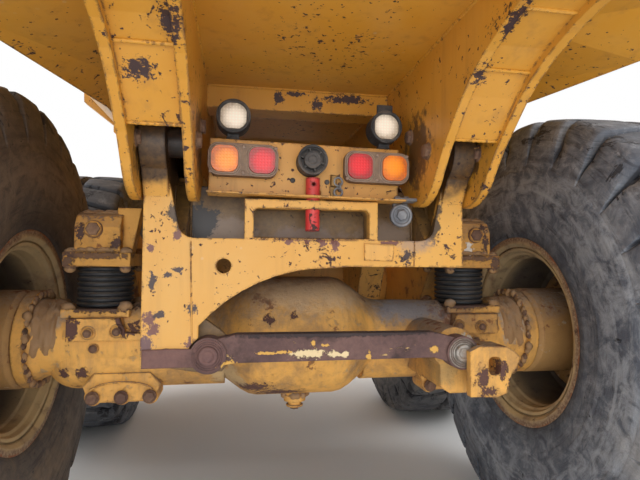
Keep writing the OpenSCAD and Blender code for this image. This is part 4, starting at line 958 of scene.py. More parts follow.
@dataclass
class Tyre:
    """Earthmover tyre with deep cross lugs, worn and torn at their corners."""

    centre: Vector
    side: Side
    radius: float
    half: float
    seed: int
    lug_depth: float = 0.038
    lugs: int = 28
    share: float = 0.83
    rim_flange: float = 0.360
    bead_half: float = 0.2505
    steps: int = 150
    rows: int = 26

    def section(self) -> Array:
        """Half of the carcass's section from crown to bead, as (across, radius)."""
        w, low = self.half, self.radius - self.lug_depth
        flange = self.rim_flange
        return smooth_line([
            (0, low), (w - 0.150, low - 0.003), (w - 0.108, low - 0.008),
            (w - 0.078, low - 0.024), (w - 0.052, 0.718), (w - 0.024, 0.660),
            (w - 0.006, 0.622), (w - 0.001, 0.566), (w - 0.004, 0.500), (w - 0.013, 0.444),
            (w - 0.024, 0.398), (w - 0.033, flange + 0.006),
            (self.bead_half + 0.004, flange - 0.004)], 78)

    def dressed_section(self) -> Array:
        """Section with the moulded rings of the sidewall: thin ridges and a step by the bead."""
        line = self.section()
        radius = line[:, 1]
        ridge = sum(h * np.exp(-((radius - r) / w) ** 2) for r, h, w in
                    ((0.470, 0.0035, 0.004), (0.548, 0.002, 0.003), (0.604, 0.0035, 0.004)))
        step = 0.004 / (1 + np.exp((radius - 0.405) / 0.004))
        line = line.copy()
        raised = line[:, 0] + np.where(radius < 0.63, ridge + step, 0)
        line[:, 0] = np.minimum(raised, self.half - 0.001)
        return line

    def carcass(self, shell: Shell) -> None:
        """Adds the carcass: the section, its mirror image and the bead's foot, turned round."""
        bead_half, most = self.bead_half, self.half - 0.0005
        half = np.vstack([
            self.dressed_section(),
            [(bead_half - 0.002, 0.330), (bead_half - 0.03, 0.322), (bead_half - 0.03, 0.345),
             (bead_half - 0.01, 0.40), (0.20, 0.60), (0.0, 0.68)]])
        whole = np.vstack([half, (half * [-1, 1])[-2::-1]])[:-1]
        surface = revolve(whole, self.steps)
        angle = np.linspace(0, TAU, self.steps, endpoint=False)
        flat = 0.0010 * np.sin(3 * angle + self.seed)[None, :] * (whole[:, 1] > 0.5)[:, None]
        surface[..., 0] = np.clip(surface[..., 0] + flat, -most, most)
        shell.grid(place_points(surface, self.centre, Axis.X), ends_meet=True)

    def tread_lines(self, count: int) -> tuple[Array, Array]:
        """A lug's foot and outside from crown to shoulder, each as (across, radius).

        On the crown the foot is the carcass right below. On the shoulder it is turned in, so
        that the lug stands out square to the carcass.
        """
        w, r = self.half, self.radius
        outer = smooth_line([(0.008, r - 0.0006), (0.12, r - 0.0012), (w - 0.085, r - 0.0065),
                             (w - 0.054, r - 0.014), (w - 0.037, r - 0.036),
                             (w - 0.024, r - 0.076), (w - 0.015, 0.690), (w - 0.009, 0.648),
                             (w - 0.008, 0.630)], count)
        across, height = outer.T
        line = self.section()[:40]
        inner = np.stack([across - 0.002, np.interp(across, *line.T)], 1)
        down = np.clip((r - 0.006 - height) / (r - 0.636), 0, 1)
        downs = [0, 0.35, 0.7, 1]
        turned = np.stack([np.interp(down, downs, [w - 0.085, w - 0.060, w - 0.030, w - 0.008]),
                           np.interp(down, downs, [r - 0.060, 0.728, 0.668, 0.628])], 1)
        return np.where((across > w - 0.085)[:, None], turned, inner), outer

    def lug_level(self, rng: np.random.Generator, k: int, half: Side, t: Array,
                  u: Array) -> Array:
        """Height of a lug over t and u: 1 on its face, steep flanks, worn and torn places.

        A torn place is exp(-(dt / s)^2 - (du / 2.2 s)^2) deep, on one of the two flanks.

        Args:
            rng: source of the random draws.
            k: the lug's number.
            half: the half of the tyre that it lies on.
            t: way across the tyre, 0 to 1, as a column.
            u: way along the tyre, -1 to 1 between the flanks, as a row.

        Returns:
            Share of the lug's height, below 0 where it sinks into the carcass.
        """
        flank = np.array([-0.3, 0.25, 0.72, 0.94, 1, 1, 1])
        flank = np.concatenate([flank, flank[::-1]])
        wander = value_noise(t * 7 + 11 * k, u * 0.9 + 5 * half.value, self.seed, 3)
        worn = 1 - 0.05 * rng.random() - 0.035 * np.abs(wander)
        for _ in range(3):
            at_t, at_u = rng.uniform(0.35, 1.0), rng.choice([-1.0, 1.0])
            size = rng.uniform(0.03, 0.09)
            torn = np.exp(-((t - at_t) / size) ** 2 - ((u - at_u) / (2.2 * size)) ** 2)
            worn = worn - rng.uniform(0.1, 0.5) * torn
        level = np.where(flank > 0, flank * np.clip(worn, 0.2, 1), flank)
        level[0] = np.minimum(level[0], -0.2)
        level[1] = np.minimum(level[1], 0.9 * np.maximum(flank, -0.3))
        return level

    def tread(self, shell: Shell) -> None:
        """Adds the lugs.

        A lug is a sheet over (way across the tyre t, way along the tyre u). At t it runs from
        its foot C(t) to the tread's outside O(t): point = C + level(t, u) (O - C). Its middle
        line lies m(t) behind a straight one, and u times the half length h(t) gives the way
        along, a chord of the circle of the point's radius.
        """
        w, r = self.half, self.radius
        inner, outer = self.tread_lines(self.rows)
        across = outer[:, 0]
        pitch = TAU / self.lugs
        sweep = np.interp(across, [0.008, 0.08, 0.164, 0.23, w + 0.005],
                          [0.0, 0.034, 0.062, 0.079, 0.092])
        length = pitch * r * self.share / 2 + np.interp(
            across, [0.008, 0.164, w + 0.005], [-0.012, -0.002, -0.008])
        t = np.linspace(0, 1, self.rows)[:, None]
        u = np.array([-1.07, -1.035, -1.01, -0.985, -0.93, -0.6, -0.2])
        u = np.concatenate([u, -u[::-1]])
        rng = np.random.default_rng(self.seed)
        for half in Side:
            late = 0.25 if half is self.side else 0.75
            for k in range(self.lugs):
                level = self.lug_level(rng, k, half, t, u)
                spread = value_noise(t * 9 + 3 * k, np.sign(u) * 3.3, self.seed + 7, 3)
                place = inner[:, None, :] + level[..., None] * (outer - inner)[:, None, :]
                along = -sweep[:, None] + u * length[:, None] * (1 + 0.022 * spread)
                angle = np.arcsin(np.clip(along / place[..., 1], -1, 1)) - (k + late) * pitch
                out = np.minimum(place[..., 0], w - 0.0012)
                radius = np.minimum(place[..., 1], r - 0.0006)
                points = np.stack([half.value * out, radius * np.sin(angle),
                                   radius * np.cos(angle)], axis=-1)
                shell.grid(place_points(points, self.centre, Axis.X), ring=False)

    def build(self, name: str, body: str, finish: bpy.types.Material) -> bpy.types.Object:
        """Makes the tyre and hides the plain solid."""
        shell = Shell()
        self.carcass(shell)
        self.tread(shell)
        piece = shell.object(name, body, finish, sharp=42, slot="tyre")
        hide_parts(name.replace("dressed_", ""))
        return piece


@dataclass
class WheelTrim:
    """Nuts on a wheel's disc, bolts round its hub and the planetary cover, and the valve."""

    centre: Vector
    side: Side
    disc_out: float = 0.055
    flange_in: float = 0.002
    shoulder: float = -0.046
    cover_end: float = 0.195

    def ring(self, shell: Shell, along: float, radius: float, count: int, across: float,
             outward: bool, washer: float = 1.25) -> None:
        """Adds bolts on a circle about the wheel's axle that look outward or inward."""
        flip = (self.side is Side.LEFT) == outward
        for angle, y, z in round_about(count, radius, 0.5):
            place = (self.centre.x + self.side.value * along, self.centre.y + y,
                     self.centre.z + z)
            bolt(shell, place, Axis.X, across, flip, angle * 3.1, washer)

    def valve(self, shell: Shell) -> None:
        """Adds the valve: a bent tube from the disc to its cap."""
        disc = self.disc_out
        path = smooth_line([(disc - 0.004, 0.262, 0.0), (disc + 0.02, 0.262, 0.0),
                            (disc + 0.035, 0.270, 0.01), (disc + 0.06, 0.276, 0.014)], 14)
        size = np.interp(np.arange(14), [0, 9, 10, 13], [0.005, 0.005, 0.008, 0.0075])
        shell.grid(tube(path * [self.side.value, 1, 1] + np.array(self.centre), size))

    def build(self, name: str, body: str, finish: bpy.types.Material) -> None:
        """Makes one piece of all bolts on the wheel."""
        shell = Shell()
        self.ring(shell, self.disc_out, 0.205, 16, 0.038, True)
        self.ring(shell, self.flange_in, 0.218, 16, 0.034, False)
        self.ring(shell, self.shoulder, 0.1665, 20, 0.020, False, 1.1)
        self.ring(shell, self.cover_end, 0.070, 8, 0.020, True)
        cover = self.centre + Vector((self.side.value * self.cover_end, 0, 0))
        bolt(shell, cover, Axis.X, 0.046, self.side is Side.LEFT, 0.3, 1.5)
        self.valve(shell)
        shell.object(name, body, finish, slot="hub_paint")


# Dressing of the sub-assemblies

@dataclass(frozen=True)
class AxlePlace:
    """Turns places about an axle into the frame; the middle axle is mirrored fore and aft."""

    centre: Vector
    turn: int

    def at(self, x: float, y: float, z: float) -> Place:
        """A place written as on the rear axle, tail side at negative y."""
        return (self.centre.x + x, self.centre.y + self.turn * y, self.centre.z + z)

    def turned(self, ways: Array) -> Array:
        """Turns an array of directions as the axle is turned."""
        return ways * [1, self.turn, 1]

    def moved(self, points: Array) -> Array:
        """Moves an array of places about the axle into the frame."""
        return self.turned(points) + np.array(self.centre)

    @property
    def to_tail(self) -> bool:
        """True if a bolt on the tail side looks along negative Y."""
        return self.turn > 0


@dataclass
class AxleDress:
    """Bolts, drain plug, casting seams and dried mud on one axle."""

    name: str
    place: AxlePlace
    track_flange: float = 0.8355
    seat_x: float = 0.645
    seat_z: float = 0.104
    rod_x: float = 0.558
    bosses: tuple[tuple[float, float], ...] = ((0.011, 0.033), (-0.075, 0.037))
    drain: tuple[float, float] = (0.003, -0.030)
    flange_circle: float = 0.1465
    cover_circle: float = 0.150

    def bolts(self) -> Shell:
        """Bolts of the end flanges, saddles, spring seats and bowl."""
        shell = Shell()
        at, to_tail = self.place.at, self.place.to_tail
        for side in Side:
            s = side.value
            for angle, y, z in round_about(22, self.flange_circle):
                bolt(shell, at(s * self.track_flange, y, z), Axis.X, 0.021,
                     side is Side.RIGHT, angle * 2.3, 1.15)
            for k in (-1, 0, 1):
                bolt(shell, at(s * (self.rod_x + 0.086 * k), -0.1185, -0.172), Axis.Y, 0.036,
                     to_tail, 0.4 * k, 1.2)
            for (dx, dz), y in zip((*self.bosses, (-0.001, -0.018)),
                                   (-0.1455, -0.1475, -0.1225)):
                bolt(shell, at(s * (self.seat_x + dx), y, dz), Axis.Y, 0.020, to_tail, 0.2, 1.3)
            for dx, dy in SEAT_BOLTS:
                bolt(shell, at(s * (self.seat_x + dx), dy, self.seat_z), Axis.Z, 0.030)
        for angle, x, z in round_about(12, self.cover_circle):
            bolt(shell, at(x, 0.200, z), Axis.Y, 0.020, not to_tail, angle)
        bolt(shell, at(*self.drain, -0.2445), Axis.Z, 0.034, True, 0.3, 1.05)
        return shell

    def seams(self) -> Shell:
        """Casting seams along the bowl and arms, and the rims round the bosses."""
        shell = Shell()
        at = self.place.at
        x = np.linspace(0.13, 0.30, 10)
        flare = 0.120 + 0.085 * (1 + np.cos(math.pi * (x - 0.13) / 0.17)) / 2
        for side in Side:
            s = side.value
            path = [at(s * a, -r - 0.0005, -0.012) for a, r in zip(x, flare)]
            bead(shell, path + [at(s * 0.46, -0.1185, -0.012)], 0.0035, 5)
            for dx, dz in self.bosses:
                hoop(shell, at(s * (self.seat_x + dx), -0.1385, dz), Axis.Y, 0.021, 0.0028)
            arch = [at(s * self.rod_x + 0.098 * math.cos(a), -0.1195, -0.158 + 0.034 * math.sin(a))
                    for a in np.linspace(0.25, math.pi - 0.25, 12)]
            bead(shell, arch, 0.0032, 7)
        bead(shell, [at(a, -0.2052, -0.012) for a in np.linspace(-0.13, 0.13, 8)], 0.0035, 6)
        for r, z in ((0.040, -0.2085), (0.026, -0.2435)):
            hoop(shell, at(*self.drain, z), Axis.Z, r, 0.004)
        return shell

    def mud(self, seed: int) -> Shell:
        """Dried mud: crusts on the arms and the bowl's foot, lumps round the flange bolts."""
        shell = Shell()
        at = self.place.at
        rng = np.random.default_rng(seed)
        rows = np.linspace(0.752, 0.832, 16)
        radius = np.interp(rows, [0.7575, 0.8055, 0.8275, 0.8355],
                           [0.116, 0.121, 0.132, 0.136])
        for side in Side:
            s = side.value
            for low, high, first, last, cover, depth in (
                    (-70, 120, 0.752, 0.832, 0.05, 0.010), (-60, 60, 0.752, 0.80, 0.25, 0.012)):
                along = np.linspace(first, last, 26)
                turn = np.radians(np.linspace(low, high, 44))
                out = np.zeros((26, 44, 3))
                out[..., 1], out[..., 2] = -np.sin(turn), np.cos(turn)
                base = out * np.interp(along, rows, radius)[:, None, None]
                base[..., 0] = s * along[:, None]
                crust(shell, self.place.moved(base), self.place.turned(out), depth,
                      seed + low, cover)
            for k in range(30):
                angle = TAU * k / 30 + rng.normal(0, 0.05)
                r = self.flange_circle + 0.001 + rng.normal(0, 0.003)
                size = rng.uniform(0.008, 0.0155)
                lump(shell, at(s * (self.track_flange - 0.001), r * math.cos(angle),
                               r * math.sin(angle)), (size * 0.9, size, size * 1.2), seed + k)
            for dx in (-0.086, 0.086):
                for dy in (-0.088, 0.128):
                    lump(shell, at(s * (self.seat_x + dx), dy, self.seat_z + 0.006),
                         (0.021, 0.021, 0.016), seed + 40 + int(900 * (dx + dy)))
            for k in range(9):
                lump(shell, at(s * rng.uniform(0.47, 0.65), rng.uniform(-0.10, -0.04), -0.186),
                     (0.018, 0.014, 0.010), seed + 60 + k)
        for k in range(12):
            angle = rng.uniform(0, TAU)
            lump(shell, at(self.drain[0] + 0.036 * math.cos(angle),
                           self.drain[1] + 0.036 * math.sin(angle), -0.205),
                 (0.014, 0.014, 0.012), seed + 80 + k)
        return shell

    def build(self, finish: "Dresser", seed: int) -> None:
        """Makes the three pieces."""
        self.bolts().object(self.name + "_bolts", "frame", finish.material("bolt"),
                            slot="rod_rust")
        self.seams().object(self.name + "_seams", "frame", finish.material("axle"),
                            slot="frame_paint")
        self.mud(seed).object(self.name + "_mud", "frame", finish.material("mud"), sharp=60)


@dataclass
class SpringDress:
    """Bolts and mud where the rubber springs meet the walking beams."""

    name: str
    place: AxlePlace
    x: float = 0.645
    low: float = 0.240
    top: float = 0.284

    def build(self, finish: "Dresser", seed: int) -> None:
        """Makes the bolts and the mud of the two springs of an axle."""
        bolts, mud, seams = Shell(), Shell(), Shell()
        at = self.place.at
        # crusts: z and y from foot to top, way out, cover and depth
        crusts = ((np.linspace(0.284, 0.300, 8), np.full(8, -0.090), (-1.0, 0.4), 0.45, 0.012),
                  (np.linspace(0.350, 0.412, 18), np.linspace(-0.090, -0.060, 18),
                   (-0.9, 0.45), 0.0, 0.007),
                  (np.linspace(0.419, 0.4205, 22), np.linspace(-0.050, 0.10, 22),
                   (-0.1, 1.0), 0.35, 0.010))
        for side in Side:
            s = side.value
            for dx, dy in SEAT_BOLTS:
                spot = (s * (self.x + dx), dy)
                bolt(bolts, at(*spot, self.low), Axis.Z, 0.034, True, 0.3, 1.2)
                lump(mud, at(*spot, self.low - 0.010), (0.016, 0.016, 0.012), seed + 3)
                if dx > 0 or dy > 0:
                    bolt(bolts, at(*spot, self.top), Axis.Z, 0.034, False, 0.1, 1.2)
                lump(mud, at(*spot, self.top + 0.004), (0.019, 0.018, 0.013),
                     seed + int(1000 * dx))
            bolt(bolts, at(s * (self.x + 0.015), -0.0905, 0.360), Axis.Y, 0.046,
                 self.place.to_tail, 0.5, 1.25)
            ends = (self.x - 0.066, self.x + 0.072)
            for zs, ys, out, cover, depth in crusts:
                base = np.stack(np.broadcast_arrays(
                    s * np.linspace(*ends, 40), ys[:, None], zs[:, None]), -1)
                out = np.broadcast_to((0.0, *out), base.shape)
                crust(mud, self.place.moved(base), self.place.turned(out), depth,
                      seed + int(90 * zs[0]), cover)
            bead(seams, [at(s * a, -0.0905, 0.286) for a in ends], 0.005, seed)
        bolts.object(self.name + "_bolts", "frame", finish.material("bolt"), slot="rod_rust")
        mud.object(self.name + "_mud", "frame", finish.material("mud"), sharp=60)
        seams.object(self.name + "_seams", "frame", finish.material("beam"), slot="frame_paint")


@dataclass
class TailEnd:
    """Frame's end: seams, patch plate, rusty foot of the leg and the bar's fitting."""

    layout: Layout
    face: float = END_FACE - 0.0005

    def plate(self, shell: Shell, corners: Sequence[Sequence[float]], y: float,
              thick: float) -> None:
        """Adds a plate with eased edges: its outline in x and z at three depths, towards the tail.

        The outline is drawn in by a quarter of the thickness at the outer face.
        """
        ring = np.asarray(corners, float)
        middle = ring.mean(axis=0)
        span = np.ptp(ring, axis=0)
        rows = []
        for depth, shrink in ((-0.002, 0.0), (thick * 0.75, 0.0), (thick, thick * 0.25)):
            part = middle + (ring - middle) * (1 - 2 * shrink / span)
            rows.append(np.stack([part[:, 0], np.full(len(part), y - depth), part[:, 1]], 1))
        shell.grid(np.array(rows) + np.array(self.layout.rear))

    def seams(self) -> Shell:
        """Weld seams on the end plate and the towers."""
        shell = Shell()
        y = self.face
        runs = [(0.0024, 2, [(-0.325, y, 0.313), (-0.322, y, 0.20), (-0.317, y, 0.044)]),
                (0.0018, 3, [(0.300, y, 0.322), (0.298, y, 0.250)])]
        for s in (-1, 1):
            side, inside = s * 0.382, s * 0.338
            runs += [(0.004, 4, [(side, -0.415, 0.35), (side, -0.32, 0.36),
                                 (side, -0.29, 0.478)]),
                     (0.005, 5, [(inside, -0.291, 0.29), (inside, -0.291, 0.478)])]
        runs += [(0.003, 6, [(-0.181, y + 0.002, 0.3225), (0.187, y + 0.002, 0.3225)]),
                 (0.005, 8, [(-0.184, -0.349, 0.3245), (0.19, -0.349, 0.3245)])]
        for radius, seed, points in runs:
            bead(shell, self.layout.route(points), radius, seed)
        patch = [(0.150, 0.313), (0.150, 0.265), (0.234, 0.263), (0.238, 0.311)]
        self.plate(shell, patch, y, 0.006)
        return shell

    def foot(self) -> Shell:
        """Rusty strip across the leg's foot."""
        shell = Shell()
        x = np.linspace(-0.443, -0.303, 15)
        ragged = 0.003 * value_noise(x * 60, x * 0, 4, 3)
        upper = np.stack([x, 0.030 + ragged], 1)
        lower = np.stack([x[::-1], np.full(15, -0.0185)], 1)
        self.plate(shell, np.vstack([upper, lower]), self.face, 0.007)
        return shell

    def fitting(self) -> Shell:
        """Bushed bolt under the light bar's right end, on a tab that hangs from the lip."""
        shell = Shell()
        centre = self.layout.at(0.268, -0.392, 0.397)
        tab = [(0.246, 0.434), (0.246, 0.385), (0.268, 0.362), (0.290, 0.385), (0.290, 0.434)]
        self.plate(shell, tab, -0.380, 0.010)
        profile = [(-0.004, 0.034), (0.006, 0.034), (0.009, 0.031), (0.009, 0.026),
                   (0.005, 0.024), (0.005, 0.001)]
        shell.grid(place_points(revolve(profile, 32), centre, Axis.Y, True))
        bolt(shell, (centre[0], centre[1] - 0.004, centre[2]), Axis.Y, 0.034, True, 0.3, 1.15)
        return shell

    def bracket(self) -> Shell:
        """Grey end bracket on the lip's right end, with its two bolts, and the lock pin's clip."""
        shell = Shell()
        rows = [[(0.232 + eased, -0.449 + eased, z), (0.300 - eased, -0.440 + eased, z),
                 (0.306 - eased, -0.392 - eased, z), (0.232 + eased, -0.388 - eased, z)]
                for z, eased in ((0.434, 0.0), (0.4415, 0.0), (0.4435, 0.0015))]
        shell.grid(np.array(rows) + np.array(self.layout.rear))
        for x in (0.246, 0.272):
            bolt(shell, self.layout.at(x, -0.424, 0.443), Axis.Z, 0.017)
        for x, z, axis, radius in ((0.082, 0.492, Axis.Y, 0.012), (0.086, 0.476, Axis.X, 0.011),
                                   (0.082, 0.461, Axis.Y, 0.012)):
            hoop(shell, self.layout.at(x, -0.384, z), axis, radius, 0.0032)
        return shell

    def clip(self) -> Shell:
        """Brass block and tongue that keep the lock pin."""
        shell = Shell()
        block = [(0.061, 0.512), (0.060, 0.478), (0.078, 0.476), (0.079, 0.510)]
        tongue = [(0.058, 0.478), (0.062, 0.444), (0.080, 0.446), (0.076, 0.478)]
        self.plate(shell, block, -0.374, 0.012)
        self.plate(shell, tongue, -0.374, 0.005)
        return shell

    def build(self, finish: "Dresser") -> None:
        """Makes the pieces of the frame's end."""
        self.seams().object("end_seams", "frame", finish.material("frame"), slot="frame_paint")
        self.foot().object("leg_foot", "frame", finish.material("foot"), slot="rod_rust")
        self.fitting().object("bar_fitting", "frame", finish.material("grey_steel"))
        self.bracket().object("bar_bracket", "frame", finish.material("grey_steel"))
        self.clip().object("pin_clip", "frame", finish.material("brass"))


@dataclass
class CrossRodDress:
    """Bushes, washers and split pins in the cross rods' eyes."""

    place: AxlePlace
    name: str
    left: tuple[float, float]
    right: tuple[float, float] = (0.445, 0.0)
    front: float = -0.4262

    def build(self, finish: "Dresser") -> None:
        """Makes the bright rings of the right eye and the dark ones of the left."""
        for where, (x, z), key in (("right", self.right, "bright"), ("left", self.left, "foot")):
            shell = Shell()
            centre = self.place.at(x, self.front, z)
            for radius, thick in ((0.0405, 0.0026), (0.0345, 0.0022), (0.0285, 0.0030)):
                hoop(shell, centre, Axis.Y, radius, thick)
            cap = [(-0.004, 0.0255), (0.0066, 0.0255), (0.0095, 0.0225), (0.0095, 0.016),
                   (0.0075, 0.014), (0.0075, 0.001)]
            shell.grid(place_points(revolve(cap, 28), centre, Axis.Y, self.place.to_tail))
            shell.object(f"{self.name}_bush_{where}", "frame", finish.material(key),
                         slot="pin_steel")


@dataclass
class LightBarDress:
    """Bezels and screws of the lamps, the work lamps' rings and feet, and the alarm's ring."""

    layout: Layout
    tilt: float = math.radians(1.0)
    pivot: float = 0.437
    face: float = -0.406
    lens_half: float = 0.036
    amber: float = 0.242
    red: float = 0.140
    lamp_z: float = 0.537
    work_x: float = 0.222
    work_z: float = 0.663

    def on_bar(self, points: Array) -> Array:
        """Turns places by the bar's droop about its lower edge and moves them to the frame."""
        p = np.asarray(points, float).copy()
        x, z = p[..., 0].copy(), p[..., 2] - self.pivot
        p[..., 0] = x * math.cos(self.tilt) + z * math.sin(self.tilt)
        p[..., 2] = self.pivot - x * math.sin(self.tilt) + z * math.cos(self.tilt)
        return p + np.array(self.layout.rear)

    def at(self, x: float, y: float, z: float) -> Place:
        """One place on the bar, in the frame."""
        return tuple(self.on_bar(np.array([x, y, z])))

    def bezel(self, shell: Shell, x: float, z: float, half: float, corner: float, y: float,
              thick: float) -> None:
        """Adds a round-cornered square ring: a small circle carried along the outline."""
        turn = np.linspace(0, TAU, 56, endpoint=False)
        quarter = np.round(turn / (TAU / 4) - 0.5) * (TAU / 4) + TAU / 8
        core = half - corner
        cx, cz = core * np.sign(np.cos(quarter)), core * np.sign(np.sin(quarter))
        line = np.stack([x + cx + corner * np.cos(turn), np.full(56, y),
                         z + cz + corner * np.sin(turn)], 1)
        out = np.stack([np.cos(turn), 0 * turn, np.sin(turn)], 1)
        small = np.linspace(0, TAU, 8, endpoint=False)
        ring = line[:, None, :] + thick * (out[:, None, :] * np.cos(small)[None, :, None]
                                           + np.array([0, 1.0, 0]) * np.sin(small)[None, :, None])
        shell.grid(self.on_bar(ring), ends_meet=True)

    def housings(self) -> Shell:
        """Two bezels round each lens and the screws in the housings' corners."""
        shell = Shell()
        for s in (-1, 1):
            for x in (self.amber, self.red):
                for wider, corner, out, thick in ((0.0025, 0.025, -0.0005, 0.0026),
                                                  (0.0075, 0.028, 0.001, 0.0020)):
                    self.bezel(shell, s * x, self.lamp_z, self.lens_half + wider, corner,
                               self.face + out, thick)
            middle = s * (self.amber + self.red) / 2
            for dx, dz in ((0, 0.036), (0, -0.036), (0.088, 0.036), (-0.088, -0.036)):
                bolt(shell, self.at(middle + dx, self.face + 0.0005, self.lamp_z + dz),
                     Axis.Y, 0.0085, True, 0.4, 1.2)
        return shell

    def work_lamps(self) -> Shell:
        """Ribbed rims, square bezels and feet of the work lamps."""
        shell = Shell()
        for s in (-1, 1):
            x, z = s * self.work_x, self.work_z
            self.bezel(shell, x, z, 0.0395, 0.028, -0.3895, 0.0035)
            for radius, thick in ((0.0455, 0.0026), (0.0415, 0.0016)):
                hoop(shell, self.at(x, -0.388, z), Axis.Y, radius, thick)
            for _, dx, dz in round_about(20, 0.0468):
                rib = [[x + dx, y, z + dz] for y in np.linspace(-0.368, -0.338, 4)]
                shell.grid(tube(self.on_bar(rib), 0.0024, 6))
            for foot, across in ((0.607, 0.026), (0.6035, 0.030)):
                bolt(shell, self.at(x, -0.352, foot), Axis.Z, across, False, 0.3, 1.4)
        return shell

    def alarm(self) -> Shell:
        """Rings and fins of the reversing alarm."""
        shell = Shell()
        for radius, thick, y in ((0.0405, 0.0024, -0.4235), (0.0345, 0.0016, -0.415),
                                 (0.0225, 0.0020, -0.4215), (0.012, 0.0010, -0.4222)):
            hoop(shell, self.at(0.0, y, self.lamp_z + 0.008), Axis.Y, radius, thick)
        for x in (-0.05, 0.05):
            bolt(shell, self.at(x, -0.3725, self.lamp_z - 0.045), Axis.Y, 0.012, True)
        return shell

    def build(self, finish: "Dresser") -> None:
        """Makes the three pieces."""
        self.housings().object("lamp_bezels", "frame", finish.material("bezel"),
                               slot="housing_plastic")
        self.work_lamps().object("work_lamp_rims", "frame", finish.material("black"),
                                 slot="black_plastic")
        self.alarm().object("alarm_rings", "frame", finish.material("black"), slot="black_plastic")


@dataclass
class BodyDress:
    """Weld seams under the body and the lock bolts of its hinge pins."""

    layout: Layout
    keels: tuple[float, float] = (0.320, 0.465)
    half_plate: float = 0.012

    def floor_z(self, y: float) -> float:
        """Height of the floor's underside: level, then rising to the tail."""
        return 0.840 + max(0.0, (-0.95 - y) / 0.51 * 0.115)

    def seams(self) -> Shell:
        """Seams of the keel plates along the floor, and of the cross beams."""
        shell = Shell()
        for s in (-1, 1):
            for x in self.keels:
                for edge in (-1, 1):
                    across = s * (x + edge * self.half_plate)
                    path = [(across, y, self.floor_z(y) - 0.002)
                            for y in (3.4, -0.16, -0.95, -1.425)]
                    bead(shell, self.layout.route(path), 0.0045, int(100 * x) + edge)
            inner, outer = self.keels[0] + self.half_plate, self.keels[1] - self.half_plate
            for y, z in ((-0.600, 0.577), (-0.747, 0.700), (-0.902, 0.760)):
                ends = [(s * x, y - 0.002, z - 0.003) for x in (inner, outer)]
                bead(shell, self.layout.route(ends), 0.0045, 9)
        for y in (-0.14, 0.70, 1.50):
            for edge in (-0.001, 0.101):
                ends = [(x, y + edge, 0.8385) for x in (-0.305, 0.305)]
                bead(shell, self.layout.route(ends), 0.0045, 12)
        return shell

    def bolts(self) -> Shell:
        """Lock bolts beside the hinge pins, on both faces of the outer keel plates."""
        shell = Shell()
        (near, far), plate, (y, z) = self.keels, self.half_plate, HINGE
        for s in (-1, 1):
            for x, outward in ((far + plate, True), (far - plate, False), (near - plate, False)):
                for dy, dz in ((-0.080, -0.010), (0.055, 0.062)):
                    bolt(shell, self.layout.at(s * x, y + dy, z + dz), Axis.X, 0.040,
                         (s < 0) == outward, dy, 1.2)
            head = self.layout.at(s * (far + plate + 0.014), y, z)
            hoop(shell, head, Axis.X, 0.046, 0.004)
            bolt(shell, head, Axis.X, 0.044, s < 0, 0.2, 1.3)
        return shell

    def build(self, finish: "Dresser") -> None:
        """Makes the two pieces."""
        self.seams().object("body_seams", "dump_body", finish.material("body"), slot="body_paint")
        self.bolts().object("hinge_bolts", "dump_body", finish.material("bolt"), slot="pin_steel")


@dataclass
class ShaftDress:
    """Joint crosses and flange bolts of the prop shafts, and the carrier bearing's bolts."""

    layout: Layout
    gap: float = 1.7
    nose: float = 0.375
    joint: float = 0.075
    low_z: float = -0.160
    bearing: float = 3.8

    def cross(self, shell: Shell, y: float, z: float) -> None:
        """Adds the four bearing caps of a joint's cross."""
        cap = [(0.034, 0.001), (0.034, 0.021), (0.066, 0.021), (0.069, 0.018), (0.069, 0.001)]
        for axis in (Axis.X, Axis.Z):
            for flip in (False, True):
                shell.grid(place_points(revolve(cap, 16), self.layout.at(0, y, z), axis, flip))

    def build(self, finish: "Dresser") -> None:
        """Makes the piece."""
        shell = Shell()
        ends = ((self.nose, 0.0, 1), (self.gap - self.nose, 0.0, -1),
                (self.gap + self.nose, 0.0, 1), (self.bearing - 0.060, self.low_z, -1))
        for y, z, way in ends:
            self.cross(shell, y + way * self.joint, z)
            for angle, dx, dz in round_about(8, 0.062, 0.5):
                bolt(shell, self.layout.at(dx, y + way * 0.0182, z + dz), Axis.Y, 0.018,
                     way < 0, angle)
        for x in (-0.095, 0.095):
            for z in (self.low_z - 0.02, self.low_z + 0.09):
                bolt(shell, self.layout.at(x, self.bearing + 0.0195, z), Axis.Y, 0.028, True)
        shell.object("shaft_bolts", "frame", finish.material("rod"), slot="rod_rust")


# Stage

